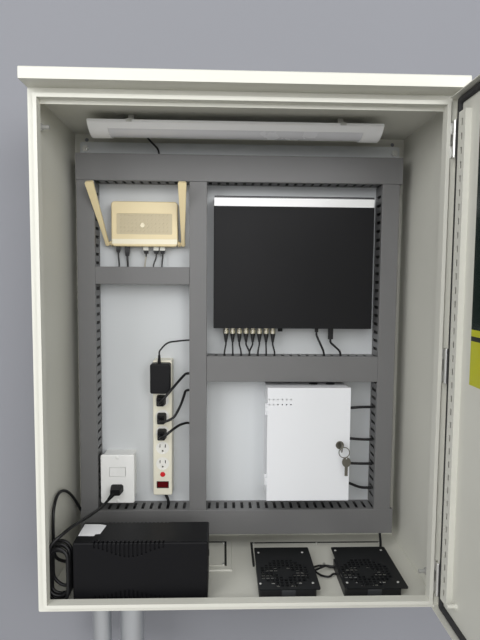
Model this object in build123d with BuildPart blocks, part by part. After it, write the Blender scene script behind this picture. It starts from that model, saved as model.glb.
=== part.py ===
"""Wall-mounted outdoor equipment cabinet in painted sheet steel, with what it carries inside.

Frame: origin at the centre of the back face, where the cabinet bears on the wall.
+X to the right as one looks into the cabinet, +Y into the wall, +Z up. Millimetres.
The cabinet is modelled with its door standing open at a right angle.
"""
from build123d import *
import math
import os

# Steel body
BODY_W = 800.0
BODY_H = 1000.0
BODY_D = 300.0
SHEET = 1.5
RIM = 13.0
HINGE_RIM = 21.0
LIP_W = 7.0
LIP_RISE = 12.0
LIP_RETURN = 20.0
LIP_HEM = 6.5
BODY_BEND = 3.0
WALL_HOLE_R = 4.5
WALL_HOLE_X = 370.0
WALL_HOLE_Z = 486.0
EARTH_STUD_R = 4.0
EARTH_STUD_LEN = 19.5
EARTH_NUT_FLATS = 13.0
EARTH_NUT_H = 6.0
EARTH_LEFT = (-246.0, 445.0)
EARTH_RIGHT = (-236.0, -462.0)

# Rain roof
ROOF_OVERHANG = 44.0
ROOF_FRONT_H = 22.0
ROOF_REAR_H = 38.0
ROOF_BEND = 5.0

# Bottom openings and gland plates
GLAND_X = 194.0
GLAND_Y = -98.5
GLAND_W = 322.0
GLAND_L = 104.0
GLAND_T = 2.0
LAND_MARGIN = 16.0
LAND_RISE = 3.0
OPENING_INSET_X = 4.0
OPENING_INSET_Y = 8.0
GLAND_SCREW_R = 2.0
GLAND_SCREW_HEAD_R = 3.3
GLAND_SCREW_HEAD_H = 2.2
GLAND_SCREW_INSET = 4.5
VENT_SLOT_L = 84.0
VENT_SLOT_W = 5.0
VENT_SLOT_PITCH = 12.0
VENT_SLOTS = 6

# Conduits
CONDUIT_Y = -108.0
CONDUITS = ((-322.5, 22.1), (-251.5, 27.9))
CONDUIT_WALL = 1.7
CONDUIT_DROP = 200.0
CONDUIT_NECK = 19.0
CONDUIT_NECK_CUT = 0.5
HUB_BODY_LEN = 34.0
HUB_WALL = 5.0
HUB_THREAD_LEN = 16.0
LOCKNUT_T = 6.0
LOCKNUT_RING = 6.0

# Mounting plate
PLATE_W = 760.0
PLATE_H = 950.0
PLATE_T = 2.5
PLATE_STANDOFF = 21.0
PLATE_CORNER = 6.0
STUD_X = 367.0
STUD_Z = 459.0
STUD_R = 4.0
STUD_HOLE_R = 4.5
NUT_FLATS = 13.0
NUT_H = 6.5
STUD_PROUD = 10.0

# Slotted wiring ducts
DUCT_DEPTH = 60.0
DUCT_WALL = 1.8
DUCT_WIDE = 60.0
DUCT_SLIM = 40.0
DUCT_FIT = 0.3
DUCT_BUTT = 0.5
DUCT_SKIRT = 10.0
SLOT_W = 7.0
SLOT_PITCH = 20.0
SLOT_FLOOR = 9.0
DUCT_TOP_Z = 406.0
DUCT_BOTTOM_Z = -424.0
DUCT_LEFT_X = -354.0
DUCT_CENTRE_X = -99.0
DUCT_RIGHT_X = 344.0
DUCT_MID_LEFT_Z = 162.0
DUCT_MID_RIGHT_Z = -54.0
DUCT_OVERRUN_LEFT = 1.0
DUCT_OVERRUN_RIGHT = 6.0

# Lamp
LAMP_X = -15.0
LAMP_LEN = 615.0
LAMP_W = 86.0
LAMP_H = 25.0
LAMP_CENTRE_Y = -143.5
LAMP_DROP = 18.0
LAMP_SIDE_H = 5.0
LAMP_CAP_LEN = 40.0
LAMP_SKIN = 1.2
DIFFUSER_W = 63.0
DIFFUSER_RECESS = 1.5
CLIP_X = 222.0
CLIP_W = 12.0
CLIP_T = 1.2

# Router
ROUTER_X = -225.5
ROUTER_Z = 282.0
ROUTER_W = 154.0
ROUTER_H = 104.0
ROUTER_T = 29.0
ROUTER_FEET = 3.0
ROUTER_CORNER = 8.0
ROUTER_EDGE = 3.0
GRILLE_W = 129.0
GRILLE_H = 48.0
GRILLE_DEPTH = 1.5
GRILLE_PITCH = 9.0
GRILLE_BAR = 2.2
ANTENNA_LEN = 154.0
ANTENNA_ROOT_W = 9.0
ANTENNA_TIP_W = 19.0
ANTENNA_T = 8.0
ANTENNA_LEAN = 32.0
ANTENNA_SPLAY_LEFT = 8.0
ANTENNA_SPLAY_RIGHT = 1.5
KNUCKLE_R = 6.5
KNUCKLE_LEN = 12.0
KNUCKLE_PIN_R = 3.0
PIN_FIT = 0.05

# Video recorder
RECORDER_X = 122.5
RECORDER_BOTTOM_Z = 41.0
RECORDER_W = 372.0
RECORDER_H = 283.0
RECORDER_T = 50.0
RECORDER_FEET = 3.0
BEZEL_H = 23.5
BEZEL_W = 370.0
BEZEL_T = 52.0
VIDEO_JACKS = 8
VIDEO_FIRST_X = -34.0
VIDEO_PITCH = 16.0
JACK_R = 5.5
JACK_LEN = 9.0
VIDEO_PLUG_R = 6.5
VIDEO_PLUG_LEN = 15.0
VIDEO_BOOT_LEN = 20.0
VIDEO_LEAD_D = 4.0

# Power strip
STRIP_X = -184.0
STRIP_TOP_Z = -37.0
STRIP_W = 45.5
STRIP_LEN = 328.0
STRIP_T = 40.0
STRIP_EDGE = 4.0
OUTLET_PITCH = 38.7
OUTLET_FIRST_Z = -93.5
OUTLETS = 6
OUTLET_R = 15.0
BLADE_HALF_GAP = 6.35
ROCKER_Z = -339.0
ROCKER_W = 26.0
ROCKER_L = 14.0
RESET_Z = -313.5
RESET_R = 6.0

# Wall socket box
SOCKET_X = -290.0
SOCKET_Z = -321.0
SOCKET_W = 74.0
SOCKET_H = 112.0
SOCKET_BOX_T = 44.0
FACEPLATE_W = 80.0
FACEPLATE_H = 118.0
FACEPLATE_T = 6.0

# Uninterruptible supply
UPS_X = -204.0
UPS_FRONT_Y = -278.0
UPS_W = 270.3
UPS_H = 122.0
UPS_D = 92.0
UPS_EDGE = 4.0
UPS_FOOT_H = 4.0
UPS_FOOT_R = 9.0
VENT_PITCH = 8.6
VENT_W = 3.6
VENT_DEPTH = 2.5
VENTS = 17

# Fans
FAN_LEFT_X = 95.5
FAN_RIGHT_X = 272.5
FAN_FRONT_Y = -270.0
FAN_SIZE = 119.0
FAN_T = 19.0
FAN_DUCT_R = 57.0
FAN_BLADE_R = 54.5
FAN_HUB_R = 20.0
FAN_BLADES = 7
COVER_W = 128.0
COVER_SHIFT = (3.5, 9.0)
COVER_L = 167.0
COVER_T = 2.0
COVER_LEAD = 1.0
GUARD_PITCH = 9.5
GUARD_BAR = 2.7
GUARD_R = 56.0
GUARD_HUB_R = 19.0

# Video supply box
SUPPLY_X = 158.0
SUPPLY_Z = -225.0
SUPPLY_W = 192.0
SUPPLY_H = 266.0
SUPPLY_D = 91.0
SUPPLY_SHEET = 1.2
LID_FIT = 0.5
LID_RETURN = 10.0
SUPPLY_LOCK_X = 231.0
SUPPLY_LOCK_Z = -226.0
LOCK_R = 8.0

# Door and hinges
DOOR_SIDE_GAP = 3.0
DOOR_HINGE_GAP = 4.0
DOOR_H = 984.0
DOOR_FACE = 20.0
DOOR_REACH = 2.0
DOOR_HINGE_REACH = 9.0
DOOR_BEND = 2.5
HINGE_INSET = 13.0
HINGE_STANDOFF = 13.0
HINGE_Z = 426.0
HINGE_DROP = 8.0
KNUCKLE_BARREL_R = 4.5
HINGE_PIN_R = 2.5
HINGE_FIT = 0.05
HINGE_END_L = 20.0
HINGE_MID_L = 24.0
HINGE_GAP = 0.5
HINGE_LEAF_T = 1.5
GASKET_W = 12.0
GASKET_GAP = 0.3
RAIL_W = 26.0
RAIL_H = 11.0
RAIL_INSET = 26.0
RAIL_END = 20.0
RAIL_HOLE_W = 6.0
RAIL_HOLE_L = 12.0
RAIL_PITCH = 25.0
LOCK_INSET = 44.0
LOCK_Z = 300.0
LOCK_BARREL_R = 9.0
LOCK_HEAD_R = 14.0
CAM_W = 16.0
CAM_T = 3.0
CAM_LEN = 34.0

# Derived places
HALF_W = BODY_W / 2
HALF_H = BODY_H / 2
FLOOR_Z = -HALF_H + SHEET
CEILING_Z = HALF_H - SHEET
PLATE_BACK_Y = -SHEET - PLATE_STANDOFF
PLATE_Y = PLATE_BACK_Y - PLATE_T
DUCT_FACE_Y = PLATE_Y - DUCT_DEPTH
GLAND_BASE_Z = FLOOR_Z + LAND_RISE
GLAND_TOP_Z = GLAND_BASE_Z + GLAND_T
LIP_FRONT_Y = -BODY_D - LIP_RISE
HINGE_X = HALF_W - HINGE_INSET
HINGE_Y = -BODY_D - HINGE_STANDOFF

os.makedirs("parts", exist_ok=True)


def save(piece, name):
    """Labels a finished piece and writes it as its own file."""
    piece.label = name
    export_step(piece, f"parts/{name}.step")


def front_plane(y, x=0.0, z=0.0):
    """A plane that faces the viewer at depth y, with local x to the right and local y up."""
    return Plane(origin=(x, y, z), x_dir=(1, 0, 0), z_dir=(0, -1, 0))


def corner_radii(points):
    """The arc at each corner: 0.45 of the shorter run over the tangent of half the turn."""
    vectors = [Vector(*p) for p in points]
    radii = []
    for before, corner, after in zip(vectors, vectors[1:], vectors[2:]):
        arriving = corner - before
        leaving = after - corner
        half_turn = math.radians(arriving.get_angle(leaving)) / 2
        radii.append(0.45 * min(arriving.length, leaving.length) / math.tan(half_turn))
    return radii


def lead(points, diameter):
    """One round lead along straight runs that are joined by tangent arcs."""
    with BuildPart() as tube:
        with BuildLine() as route:
            FilletPolyline(*points, radius=corner_radii(points))
        with BuildSketch(Plane(origin=route.line @ 0, z_dir=route.line % 0)):
            Circle(diameter / 2)
        sweep()
    return tube.part


# Cabinet body: one folded and welded box with a rim and a raised lip round its mouth
with BuildPart() as cabinet_body:
    with BuildSketch(Plane.XZ):
        RectangleRounded(BODY_W, BODY_H, BODY_BEND)
    extrude(amount=BODY_D)
    with BuildSketch(Plane.XZ.offset(SHEET)):
        Rectangle(BODY_W - 2 * SHEET, BODY_H - 2 * SHEET)
    extrude(amount=BODY_D - 2 * SHEET, mode=Mode.SUBTRACT)
    lip_left = -HALF_W + RIM
    lip_right = HALF_W - HINGE_RIM
    lip_half_h = HALF_H - RIM
    lip_centre = (lip_left + lip_right) / 2
    lip_outer_w = lip_right - lip_left
    with BuildSketch(front_plane(-BODY_D + SHEET, lip_centre)):
        Rectangle(lip_outer_w, 2 * lip_half_h)
        Rectangle(lip_outer_w - 2 * SHEET, 2 * lip_half_h - 2 * SHEET, mode=Mode.SUBTRACT)
    extrude(amount=LIP_RISE + SHEET)
    with BuildSketch(front_plane(LIP_FRONT_Y + SHEET, lip_centre)):
        Rectangle(lip_outer_w, 2 * lip_half_h)
        Rectangle(lip_outer_w - 2 * LIP_W, 2 * (lip_half_h - LIP_W), mode=Mode.SUBTRACT)
    extrude(amount=SHEET)
    with BuildSketch(front_plane(-BODY_D, lip_centre)):
        Rectangle(lip_outer_w - 2 * SHEET, 2 * (lip_half_h - SHEET))
    extrude(amount=-SHEET, mode=Mode.SUBTRACT)
    with BuildSketch(front_plane(LIP_FRONT_Y + LIP_RETURN, lip_centre)):
        Rectangle(lip_outer_w - 2 * (LIP_W - SHEET), 2 * (lip_half_h - LIP_W + SHEET))
        Rectangle(lip_outer_w - 2 * LIP_W, 2 * (lip_half_h - LIP_W), mode=Mode.SUBTRACT)
    extrude(amount=LIP_RETURN)
    with BuildSketch(front_plane(LIP_FRONT_Y + LIP_RETURN, lip_centre, lip_half_h - LIP_W - LIP_HEM / 2)):
        Rectangle(lip_outer_w - 2 * LIP_W, LIP_HEM)
    extrude(amount=SHEET)
    with BuildSketch(Plane.XZ):
        with GridLocations(2 * WALL_HOLE_X, 2 * WALL_HOLE_Z, 2, 2):
            Circle(WALL_HOLE_R)
    extrude(amount=SHEET, mode=Mode.SUBTRACT)
    with BuildSketch(Plane.XY.offset(FLOOR_Z)):
        with Locations((-GLAND_X, GLAND_Y)):
            Rectangle(GLAND_W + 2 * LAND_MARGIN, GLAND_L + 2 * LAND_MARGIN)
    extrude(amount=LAND_RISE, taper=30)
    with BuildSketch(Plane.XY.offset(-HALF_H)):
        with Locations((-GLAND_X, GLAND_Y)):
            Rectangle(GLAND_W + 2 * LAND_MARGIN - 2 * SHEET, GLAND_L + 2 * LAND_MARGIN - 2 * SHEET)
    extrude(amount=LAND_RISE, taper=30, mode=Mode.SUBTRACT)
    with BuildSketch(Plane.XY.offset(-HALF_H)):
        with Locations((-GLAND_X, GLAND_Y), (GLAND_X, GLAND_Y)):
            Rectangle(GLAND_W - 2 * OPENING_INSET_X, GLAND_L - 2 * OPENING_INSET_Y)
        with Locations((FAN_LEFT_X, FAN_FRONT_Y + FAN_SIZE / 2), (FAN_RIGHT_X, FAN_FRONT_Y + FAN_SIZE / 2)):
            with GridLocations(1, VENT_SLOT_PITCH, 1, VENT_SLOTS):
                SlotOverall(VENT_SLOT_L, VENT_SLOT_W)
    extrude(amount=SHEET + LAND_RISE, mode=Mode.SUBTRACT)
    for stud_side, stud_place in ((-1, EARTH_LEFT), (1, EARTH_RIGHT)):
        stud_plane = Plane(
            origin=(stud_side * (HALF_W - SHEET), stud_place[0], stud_place[1]),
            x_dir=(0, 1, 0),
            z_dir=(-stud_side, 0, 0),
        )
        with BuildSketch(stud_plane):
            Circle(EARTH_STUD_R)
        extrude(amount=EARTH_STUD_LEN)
        with BuildSketch(stud_plane):
            RegularPolygon(EARTH_NUT_FLATS / 2, 6, major_radius=False)
        extrude(amount=EARTH_NUT_H)
save(cabinet_body.part, "cabinet_body")

# Rain roof: a folded tray that slopes to the front and drips clear of the door
with BuildPart() as rain_roof:
    with BuildSketch(Plane.YZ.offset(-HALF_W)):
        with BuildLine():
            Polyline(
                (0, HALF_H),
                (0, HALF_H + ROOF_REAR_H),
                (-BODY_D - ROOF_OVERHANG, HALF_H + ROOF_FRONT_H),
                (-BODY_D - ROOF_OVERHANG, HALF_H),
                close=True,
            )
        make_face()
    extrude(amount=BODY_W)
    front_top = rain_roof.edges().filter_by(Axis.X).group_by(Axis.Y)[0].sort_by(Axis.Z)[-1]
    fillet(front_top, ROOF_BEND)
    with BuildSketch(Plane.YZ.offset(-HALF_W + SHEET)):
        with BuildLine():
            Polyline(
                (-SHEET, HALF_H),
                (-SHEET, HALF_H + ROOF_REAR_H - SHEET),
                (-BODY_D - ROOF_OVERHANG + SHEET, HALF_H + ROOF_FRONT_H - SHEET),
                (-BODY_D - ROOF_OVERHANG + SHEET, HALF_H + SHEET),
                (-BODY_D + SHEET, HALF_H + SHEET),
                (-BODY_D + SHEET, HALF_H),
                close=True,
            )
        make_face()
    extrude(amount=BODY_W - 2 * SHEET, mode=Mode.SUBTRACT)
save(rain_roof.part, "rain_roof")

# Gland plates: the left one lies on the raised land and passes the conduits, the right one is blank
GLAND_SEATS = ((-GLAND_X, GLAND_BASE_Z), (GLAND_X, FLOOR_Z))
with BuildPart() as gland_plates:
    for plate_x, seat_z in GLAND_SEATS:
        with BuildSketch(Plane.XY.offset(seat_z)):
            with Locations((plate_x, GLAND_Y)):
                RectangleRounded(GLAND_W, GLAND_L, 6)
                with GridLocations(GLAND_W / 2 - GLAND_SCREW_INSET, GLAND_L - 2 * GLAND_SCREW_INSET, 3, 2):
                    Circle(GLAND_SCREW_R + 0.2, mode=Mode.SUBTRACT)
        extrude(amount=GLAND_T)
    for conduit_x, conduit_r in CONDUITS:
        with BuildSketch(Plane.XY.offset(GLAND_BASE_Z)):
            with Locations((conduit_x, CONDUIT_Y)):
                Circle(conduit_r + 0.3)
        extrude(amount=GLAND_T, mode=Mode.SUBTRACT)
save(gland_plates.part, "gland_plates")

with BuildPart() as gland_screws:
    for plate_x, seat_z in GLAND_SEATS:
        with BuildSketch(Plane.XY.offset(seat_z)):
            with Locations((plate_x, GLAND_Y)):
                with GridLocations(GLAND_W / 2 - GLAND_SCREW_INSET, GLAND_L - 2 * GLAND_SCREW_INSET, 3, 2):
                    Circle(GLAND_SCREW_R)
        extrude(amount=GLAND_T)
        with BuildSketch(Plane.XY.offset(seat_z + GLAND_T)):
            with Locations((plate_x, GLAND_Y)):
                with GridLocations(GLAND_W / 2 - GLAND_SCREW_INSET, GLAND_L - 2 * GLAND_SCREW_INSET, 3, 2):
                    Circle(GLAND_SCREW_HEAD_R)
        extrude(amount=GLAND_SCREW_HEAD_H, taper=15)
save(gland_screws.part, "gland_screws")

# Conduits and their hubs: rigid tube whose turned-down neck sits in a die-cast connector, which a
# locknut clamps to the plate
with BuildPart() as conduits:
    for conduit_x, conduit_r in CONDUITS:
        with BuildSketch(Plane.XY.offset(-HALF_H - HUB_BODY_LEN / 2)):
            with Locations((conduit_x, CONDUIT_Y)):
                Circle(conduit_r - CONDUIT_NECK_CUT)
                Circle(conduit_r - CONDUIT_WALL, mode=Mode.SUBTRACT)
        extrude(amount=-CONDUIT_NECK)
        with BuildSketch(Plane.XY.offset(-HALF_H - HUB_BODY_LEN / 2 - CONDUIT_NECK)):
            with Locations((conduit_x, CONDUIT_Y)):
                Circle(conduit_r)
                Circle(conduit_r - CONDUIT_WALL, mode=Mode.SUBTRACT)
        extrude(amount=CONDUIT_NECK - CONDUIT_DROP)
save(conduits.part, "conduits")

with BuildPart() as conduit_hubs:
    for conduit_x, conduit_r in CONDUITS:
        hub_plane = Plane(origin=(conduit_x, CONDUIT_Y, 0), x_dir=(1, 0, 0), z_dir=(0, -1, 0))
        seat = GLAND_BASE_Z
        thread_r = conduit_r - CONDUIT_NECK_CUT
        socket_r = thread_r + PIN_FIT
        bore_r = conduit_r - CONDUIT_WALL
        outer_r = conduit_r + HUB_WALL
        mouth = -HALF_H - HUB_BODY_LEN
        with BuildSketch(hub_plane):
            with BuildLine():
                Polyline(
                    (bore_r, -HALF_H - HUB_BODY_LEN / 2 + PIN_FIT),
                    (bore_r, seat + HUB_THREAD_LEN),
                    (thread_r, seat + HUB_THREAD_LEN),
                    (thread_r, seat),
                    (outer_r, seat),
                    (outer_r, -HALF_H - 10),
                    (outer_r - 2, -HALF_H - 13),
                    (outer_r - 2, mouth),
                    (socket_r, mouth),
                    (socket_r, -HALF_H - HUB_BODY_LEN / 2 + PIN_FIT),
                    close=True,
                )
            make_face()
        revolve(axis=Axis((conduit_x, CONDUIT_Y, 0), (0, 0, 1)))
        with BuildSketch(Plane.XY.offset(GLAND_TOP_Z)):
            with Locations((conduit_x, CONDUIT_Y)):
                RegularPolygon(conduit_r + LOCKNUT_RING, 8)
                Circle(conduit_r - CONDUIT_NECK_CUT, mode=Mode.SUBTRACT)
        extrude(amount=LOCKNUT_T)
save(conduit_hubs.part, "conduit_hubs")

# Mounting plate on four welded studs, each with a nut behind and in front of the plate
with BuildPart() as mounting_plate:
    with BuildSketch(front_plane(PLATE_BACK_Y)):
        RectangleRounded(PLATE_W, PLATE_H, PLATE_CORNER)
        with GridLocations(2 * STUD_X, 2 * STUD_Z, 2, 2):
            Circle(STUD_HOLE_R, mode=Mode.SUBTRACT)
    extrude(amount=PLATE_T)
save(mounting_plate.part, "mounting_plate")

with BuildPart() as plate_fixings:
    stud_len = PLATE_STANDOFF + PLATE_T + STUD_PROUD
    with BuildSketch(front_plane(-SHEET)):
        with GridLocations(2 * STUD_X, 2 * STUD_Z, 2, 2):
            Circle(STUD_R)
    extrude(amount=stud_len)
    for nut_start in (PLATE_BACK_Y + NUT_H, PLATE_Y):
        with BuildSketch(front_plane(nut_start)):
            with GridLocations(2 * STUD_X, 2 * STUD_Z, 2, 2):
                RegularPolygon(NUT_FLATS / 2, 6, major_radius=False)
        extrude(amount=NUT_H)
save(plate_fixings.part, "plate_fixings")


def duct_plane(start, along):
    """The plane across a duct at its start: local x across it, local y out from the plate."""
    across = (0, 0, 1) if along == "x" else (-1, 0, 0)
    run = (1, 0, 0) if along == "x" else (0, 0, 1)
    return Plane(origin=(start[0], PLATE_Y, start[1]), x_dir=across, z_dir=run)


def duct_base(start, along, length, width):
    """The slotted trough of one duct: a U with open-ended slots cut through both its walls."""
    across = duct_plane(start, along)
    inner_w = width - 2 * (DUCT_WALL + DUCT_FIT)
    tip = DUCT_DEPTH - DUCT_WALL - DUCT_FIT
    with BuildPart() as trough:
        with BuildSketch(across):
            with Locations((0, tip / 2)):
                Rectangle(inner_w, tip)
            with Locations((0, tip / 2 + DUCT_WALL)):
                Rectangle(inner_w - 2 * DUCT_WALL, tip, mode=Mode.SUBTRACT)
        extrude(amount=length)
        slots = int((length - SLOT_PITCH) // SLOT_PITCH)
        slot_l = DUCT_DEPTH - SLOT_FLOOR
        wall_plane = Plane(origin=across.origin, x_dir=across.z_dir, z_dir=-across.x_dir)
        with BuildSketch(wall_plane):
            with Locations((length / 2, SLOT_FLOOR + slot_l / 2)):
                with GridLocations(SLOT_PITCH, 1, slots, 1):
                    Rectangle(SLOT_W, slot_l)
        extrude(amount=width, both=True, mode=Mode.SUBTRACT)
    return trough.part


def duct_cover(start, along, length, width):
    """The snap-on cover of one duct: a flat face with a short skirt down each side."""
    with BuildPart() as cover:
        with BuildSketch(duct_plane(start, along)):
            with Locations((0, DUCT_DEPTH - DUCT_SKIRT / 2)):
                Rectangle(width, DUCT_SKIRT)
            with Locations((0, DUCT_DEPTH - DUCT_SKIRT / 2 - DUCT_WALL)):
                Rectangle(width - 2 * DUCT_WALL, DUCT_SKIRT, mode=Mode.SUBTRACT)
        extrude(amount=length)
        outer_edges = cover.edges().group_by(Axis.Y)[0]
        along_axis = Axis.X if along == "x" else Axis.Z
        fillet(outer_edges.filter_by(along_axis), 1.2)
    return cover.part


# Wiring ducts: start point (x, z), run direction, length and width of each
duct_x0 = DUCT_LEFT_X - DUCT_SLIM / 2 - DUCT_OVERRUN_LEFT
duct_x1 = DUCT_RIGHT_X + DUCT_SLIM / 2 + DUCT_OVERRUN_RIGHT
rise_z0 = DUCT_BOTTOM_Z + DUCT_WIDE / 2 + DUCT_BUTT
rise_z1 = DUCT_TOP_Z - DUCT_WIDE / 2 - DUCT_BUTT
mid_left_x0 = DUCT_LEFT_X + DUCT_SLIM / 2 + DUCT_BUTT
mid_left_x1 = DUCT_CENTRE_X - DUCT_SLIM / 2 - DUCT_BUTT
mid_right_x0 = DUCT_CENTRE_X + DUCT_SLIM / 2 + DUCT_BUTT
mid_right_x1 = DUCT_RIGHT_X - DUCT_SLIM / 2 - DUCT_BUTT
DUCT_RUNS = {
    "top": ((duct_x0, DUCT_TOP_Z), "x", duct_x1 - duct_x0, DUCT_WIDE),
    "bottom": ((duct_x0, DUCT_BOTTOM_Z), "x", duct_x1 - duct_x0, DUCT_WIDE),
    "mid_right": ((mid_right_x0, DUCT_MID_RIGHT_Z), "x", mid_right_x1 - mid_right_x0, DUCT_WIDE),
    "left": ((DUCT_LEFT_X, rise_z0), "z", rise_z1 - rise_z0, DUCT_SLIM),
    "centre": ((DUCT_CENTRE_X, rise_z0), "z", rise_z1 - rise_z0, DUCT_SLIM),
    "right": ((DUCT_RIGHT_X, rise_z0), "z", rise_z1 - rise_z0, DUCT_SLIM),
    "mid_left": ((mid_left_x0, DUCT_MID_LEFT_Z), "x", mid_left_x1 - mid_left_x0, DUCT_SLIM),
}
duct_bases = {name: duct_base(*run) for name, run in DUCT_RUNS.items()}
duct_covers = {name: duct_cover(*run) for name, run in DUCT_RUNS.items()}
duct_groups = {
    "wide": ("top", "bottom", "mid_right"),
    "slim": ("left", "centre", "right", "mid_left"),
}
for group, members in duct_groups.items():
    with BuildPart() as duct_troughs:
        for member in members:
            add(duct_bases[member])
    save(duct_troughs.part, f"duct_bases_{group}")
    with BuildPart() as duct_lids:
        for member in members:
            add(duct_covers[member])
    save(duct_lids.part, f"duct_covers_{group}")


def nearest_slot(name, wanted):
    """The centre, along its duct, of the slot that lies nearest to a wanted place."""
    start, along, length, _ = DUCT_RUNS[name]
    origin = start[0] if along == "x" else start[1]
    slots = int((length - SLOT_PITCH) // SLOT_PITCH)
    first = origin + length / 2 - (slots - 1) / 2 * SLOT_PITCH
    return first + round((wanted - first) / SLOT_PITCH) * SLOT_PITCH


# Lamp: a flat extruded batten that hangs under the ceiling in two spring clips
lamp_top = CEILING_Z - LAMP_DROP
lamp_x0 = LAMP_X - LAMP_LEN / 2


def lamp_section(inset, x):
    """The lamp's outline at x: a flat back, short upright sides and a shallow arc below."""
    half = LAMP_W / 2 - inset
    side = lamp_top - LAMP_SIDE_H
    with BuildSketch(Plane(origin=(x, LAMP_CENTRE_Y, 0), x_dir=(0, 1, 0), z_dir=(1, 0, 0))) as outline:
        with BuildLine():
            Polyline((-half, side), (-half, lamp_top), (half, lamp_top), (half, side))
            ThreePointArc((-half, side), (0, lamp_top - LAMP_H + inset), (half, side))
        make_face()
    return outline.sketch


body_x = lamp_x0 + LAMP_CAP_LEN
body_len = LAMP_LEN - 2 * LAMP_CAP_LEN
with BuildPart() as lamp_housing:
    extrude(lamp_section(0, body_x), amount=body_len)
    with Locations((LAMP_X, LAMP_CENTRE_Y, lamp_top - LAMP_H / 2 - LAMP_SIDE_H / 2)):
        Box(body_len, DIFFUSER_W, LAMP_H - LAMP_SIDE_H + 2 * LAMP_SKIN, mode=Mode.SUBTRACT)
save(lamp_housing.part, "lamp_housing")

with BuildPart() as lamp_diffuser:
    extrude(lamp_section(DIFFUSER_RECESS, body_x), amount=body_len)
    extrude(lamp_section(DIFFUSER_RECESS + 2 * LAMP_SKIN, body_x), amount=body_len, mode=Mode.SUBTRACT)
    with Locations((LAMP_X, LAMP_CENTRE_Y, lamp_top - LAMP_H / 2 - LAMP_SIDE_H / 2)):
        Box(body_len, DIFFUSER_W - DUCT_FIT, LAMP_H - LAMP_SIDE_H + LAMP_SKIN, mode=Mode.INTERSECT)
save(lamp_diffuser.part, "lamp_diffuser")

with BuildPart() as lamp_end_caps:
    extrude(lamp_section(-0.6, lamp_x0), amount=LAMP_CAP_LEN)
    extrude(lamp_section(-0.6, lamp_x0 + LAMP_LEN - LAMP_CAP_LEN), amount=LAMP_CAP_LEN)
save(lamp_end_caps.part, "lamp_end_caps")

with BuildPart() as lamp_clips:
    for side in (-1, 1):
        clip_x = LAMP_X + side * CLIP_X
        with BuildSketch(Plane(origin=(clip_x - CLIP_W / 2, LAMP_CENTRE_Y, 0), x_dir=(0, 1, 0), z_dir=(1, 0, 0))):
            with Locations((0, lamp_top + (CLIP_T + 0.2) / 2 - LAMP_SIDE_H / 2)):
                Rectangle(LAMP_W + 2 * CLIP_T + 0.4, LAMP_SIDE_H + CLIP_T + 0.2)
            with Locations((0, lamp_top + 0.2 - LAMP_SIDE_H)):
                Rectangle(LAMP_W + 0.4, 2 * LAMP_SIDE_H, mode=Mode.SUBTRACT)
            with Locations((0, (lamp_top + CEILING_Z) / 2 + CLIP_T / 2)):
                Rectangle(LAMP_W / 3, LAMP_DROP - CLIP_T)
        extrude(amount=CLIP_W)
save(lamp_clips.part, "lamp_clips")

lamp_slot_x = nearest_slot("top", -197)
top_duct_edge = DUCT_TOP_Z + DUCT_WIDE / 2
lamp_rear_y = LAMP_CENTRE_Y + LAMP_W / 2
lamp_lead = lead(
    [
        (-218, lamp_rear_y, lamp_top - 3),
        (-218, lamp_rear_y + 9, lamp_top - 3),
        (-216, lamp_rear_y + 18, lamp_top - 6),
        (-208, lamp_rear_y + 30, lamp_top - 14),
        (lamp_slot_x + 2, lamp_rear_y + 42, lamp_top - 30),
        (lamp_slot_x, lamp_rear_y + 45, top_duct_edge - 5),
    ],
    4.5,
)
save(lamp_lead, "lamp_lead")

# Router: a flat moulded case with a pierced front, screwed upright to the plate
router_back = PLATE_Y - ROUTER_FEET
router_front = router_back - ROUTER_T
router_bottom = ROUTER_Z - ROUTER_H / 2
antenna_y = router_back - ROUTER_T / 2
antenna_z = router_bottom + KNUCKLE_R
with BuildPart() as router_case:
    with BuildSketch(front_plane(router_back, ROUTER_X, ROUTER_Z)):
        RectangleRounded(ROUTER_W, ROUTER_H, ROUTER_CORNER)
    extrude(amount=ROUTER_T)
    fillet(router_case.faces().sort_by(Axis.Y)[0].edges(), ROUTER_EDGE)
    with BuildSketch(front_plane(router_front, ROUTER_X, ROUTER_Z)):
        RectangleRounded(GRILLE_W, GRILLE_H, 3)
    extrude(amount=-GRILLE_DEPTH, mode=Mode.SUBTRACT)
    grille_columns = int(GRILLE_W // GRILLE_PITCH) - 1
    grille_rows = int(GRILLE_H // GRILLE_PITCH)
    with BuildSketch(front_plane(router_front + GRILLE_DEPTH, ROUTER_X, ROUTER_Z)):
        with GridLocations(GRILLE_PITCH, GRILLE_PITCH, grille_columns, grille_rows):
            RegularPolygon((GRILLE_PITCH - GRILLE_BAR) / 2, 4)
    extrude(amount=-GRILLE_DEPTH, mode=Mode.SUBTRACT)
    with BuildSketch(front_plane(PLATE_Y, ROUTER_X, ROUTER_Z)):
        with GridLocations(ROUTER_W * 0.7, ROUTER_H * 0.6, 2, 2):
            Circle(5)
    extrude(amount=ROUTER_FEET)
    with BuildSketch(Plane(origin=(ROUTER_X - ROUTER_W / 2, antenna_y, antenna_z), x_dir=(0, 1, 0), z_dir=(-1, 0, 0))):
        Circle(KNUCKLE_PIN_R + PIN_FIT)
    extrude(amount=-8, mode=Mode.SUBTRACT)
    with BuildSketch(Plane(origin=(ROUTER_X + ROUTER_W / 2, antenna_y, antenna_z), x_dir=(0, 1, 0), z_dir=(1, 0, 0))):
        Circle(KNUCKLE_PIN_R + PIN_FIT)
    extrude(amount=-8, mode=Mode.SUBTRACT)
save(router_case.part, "router_case")


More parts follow.
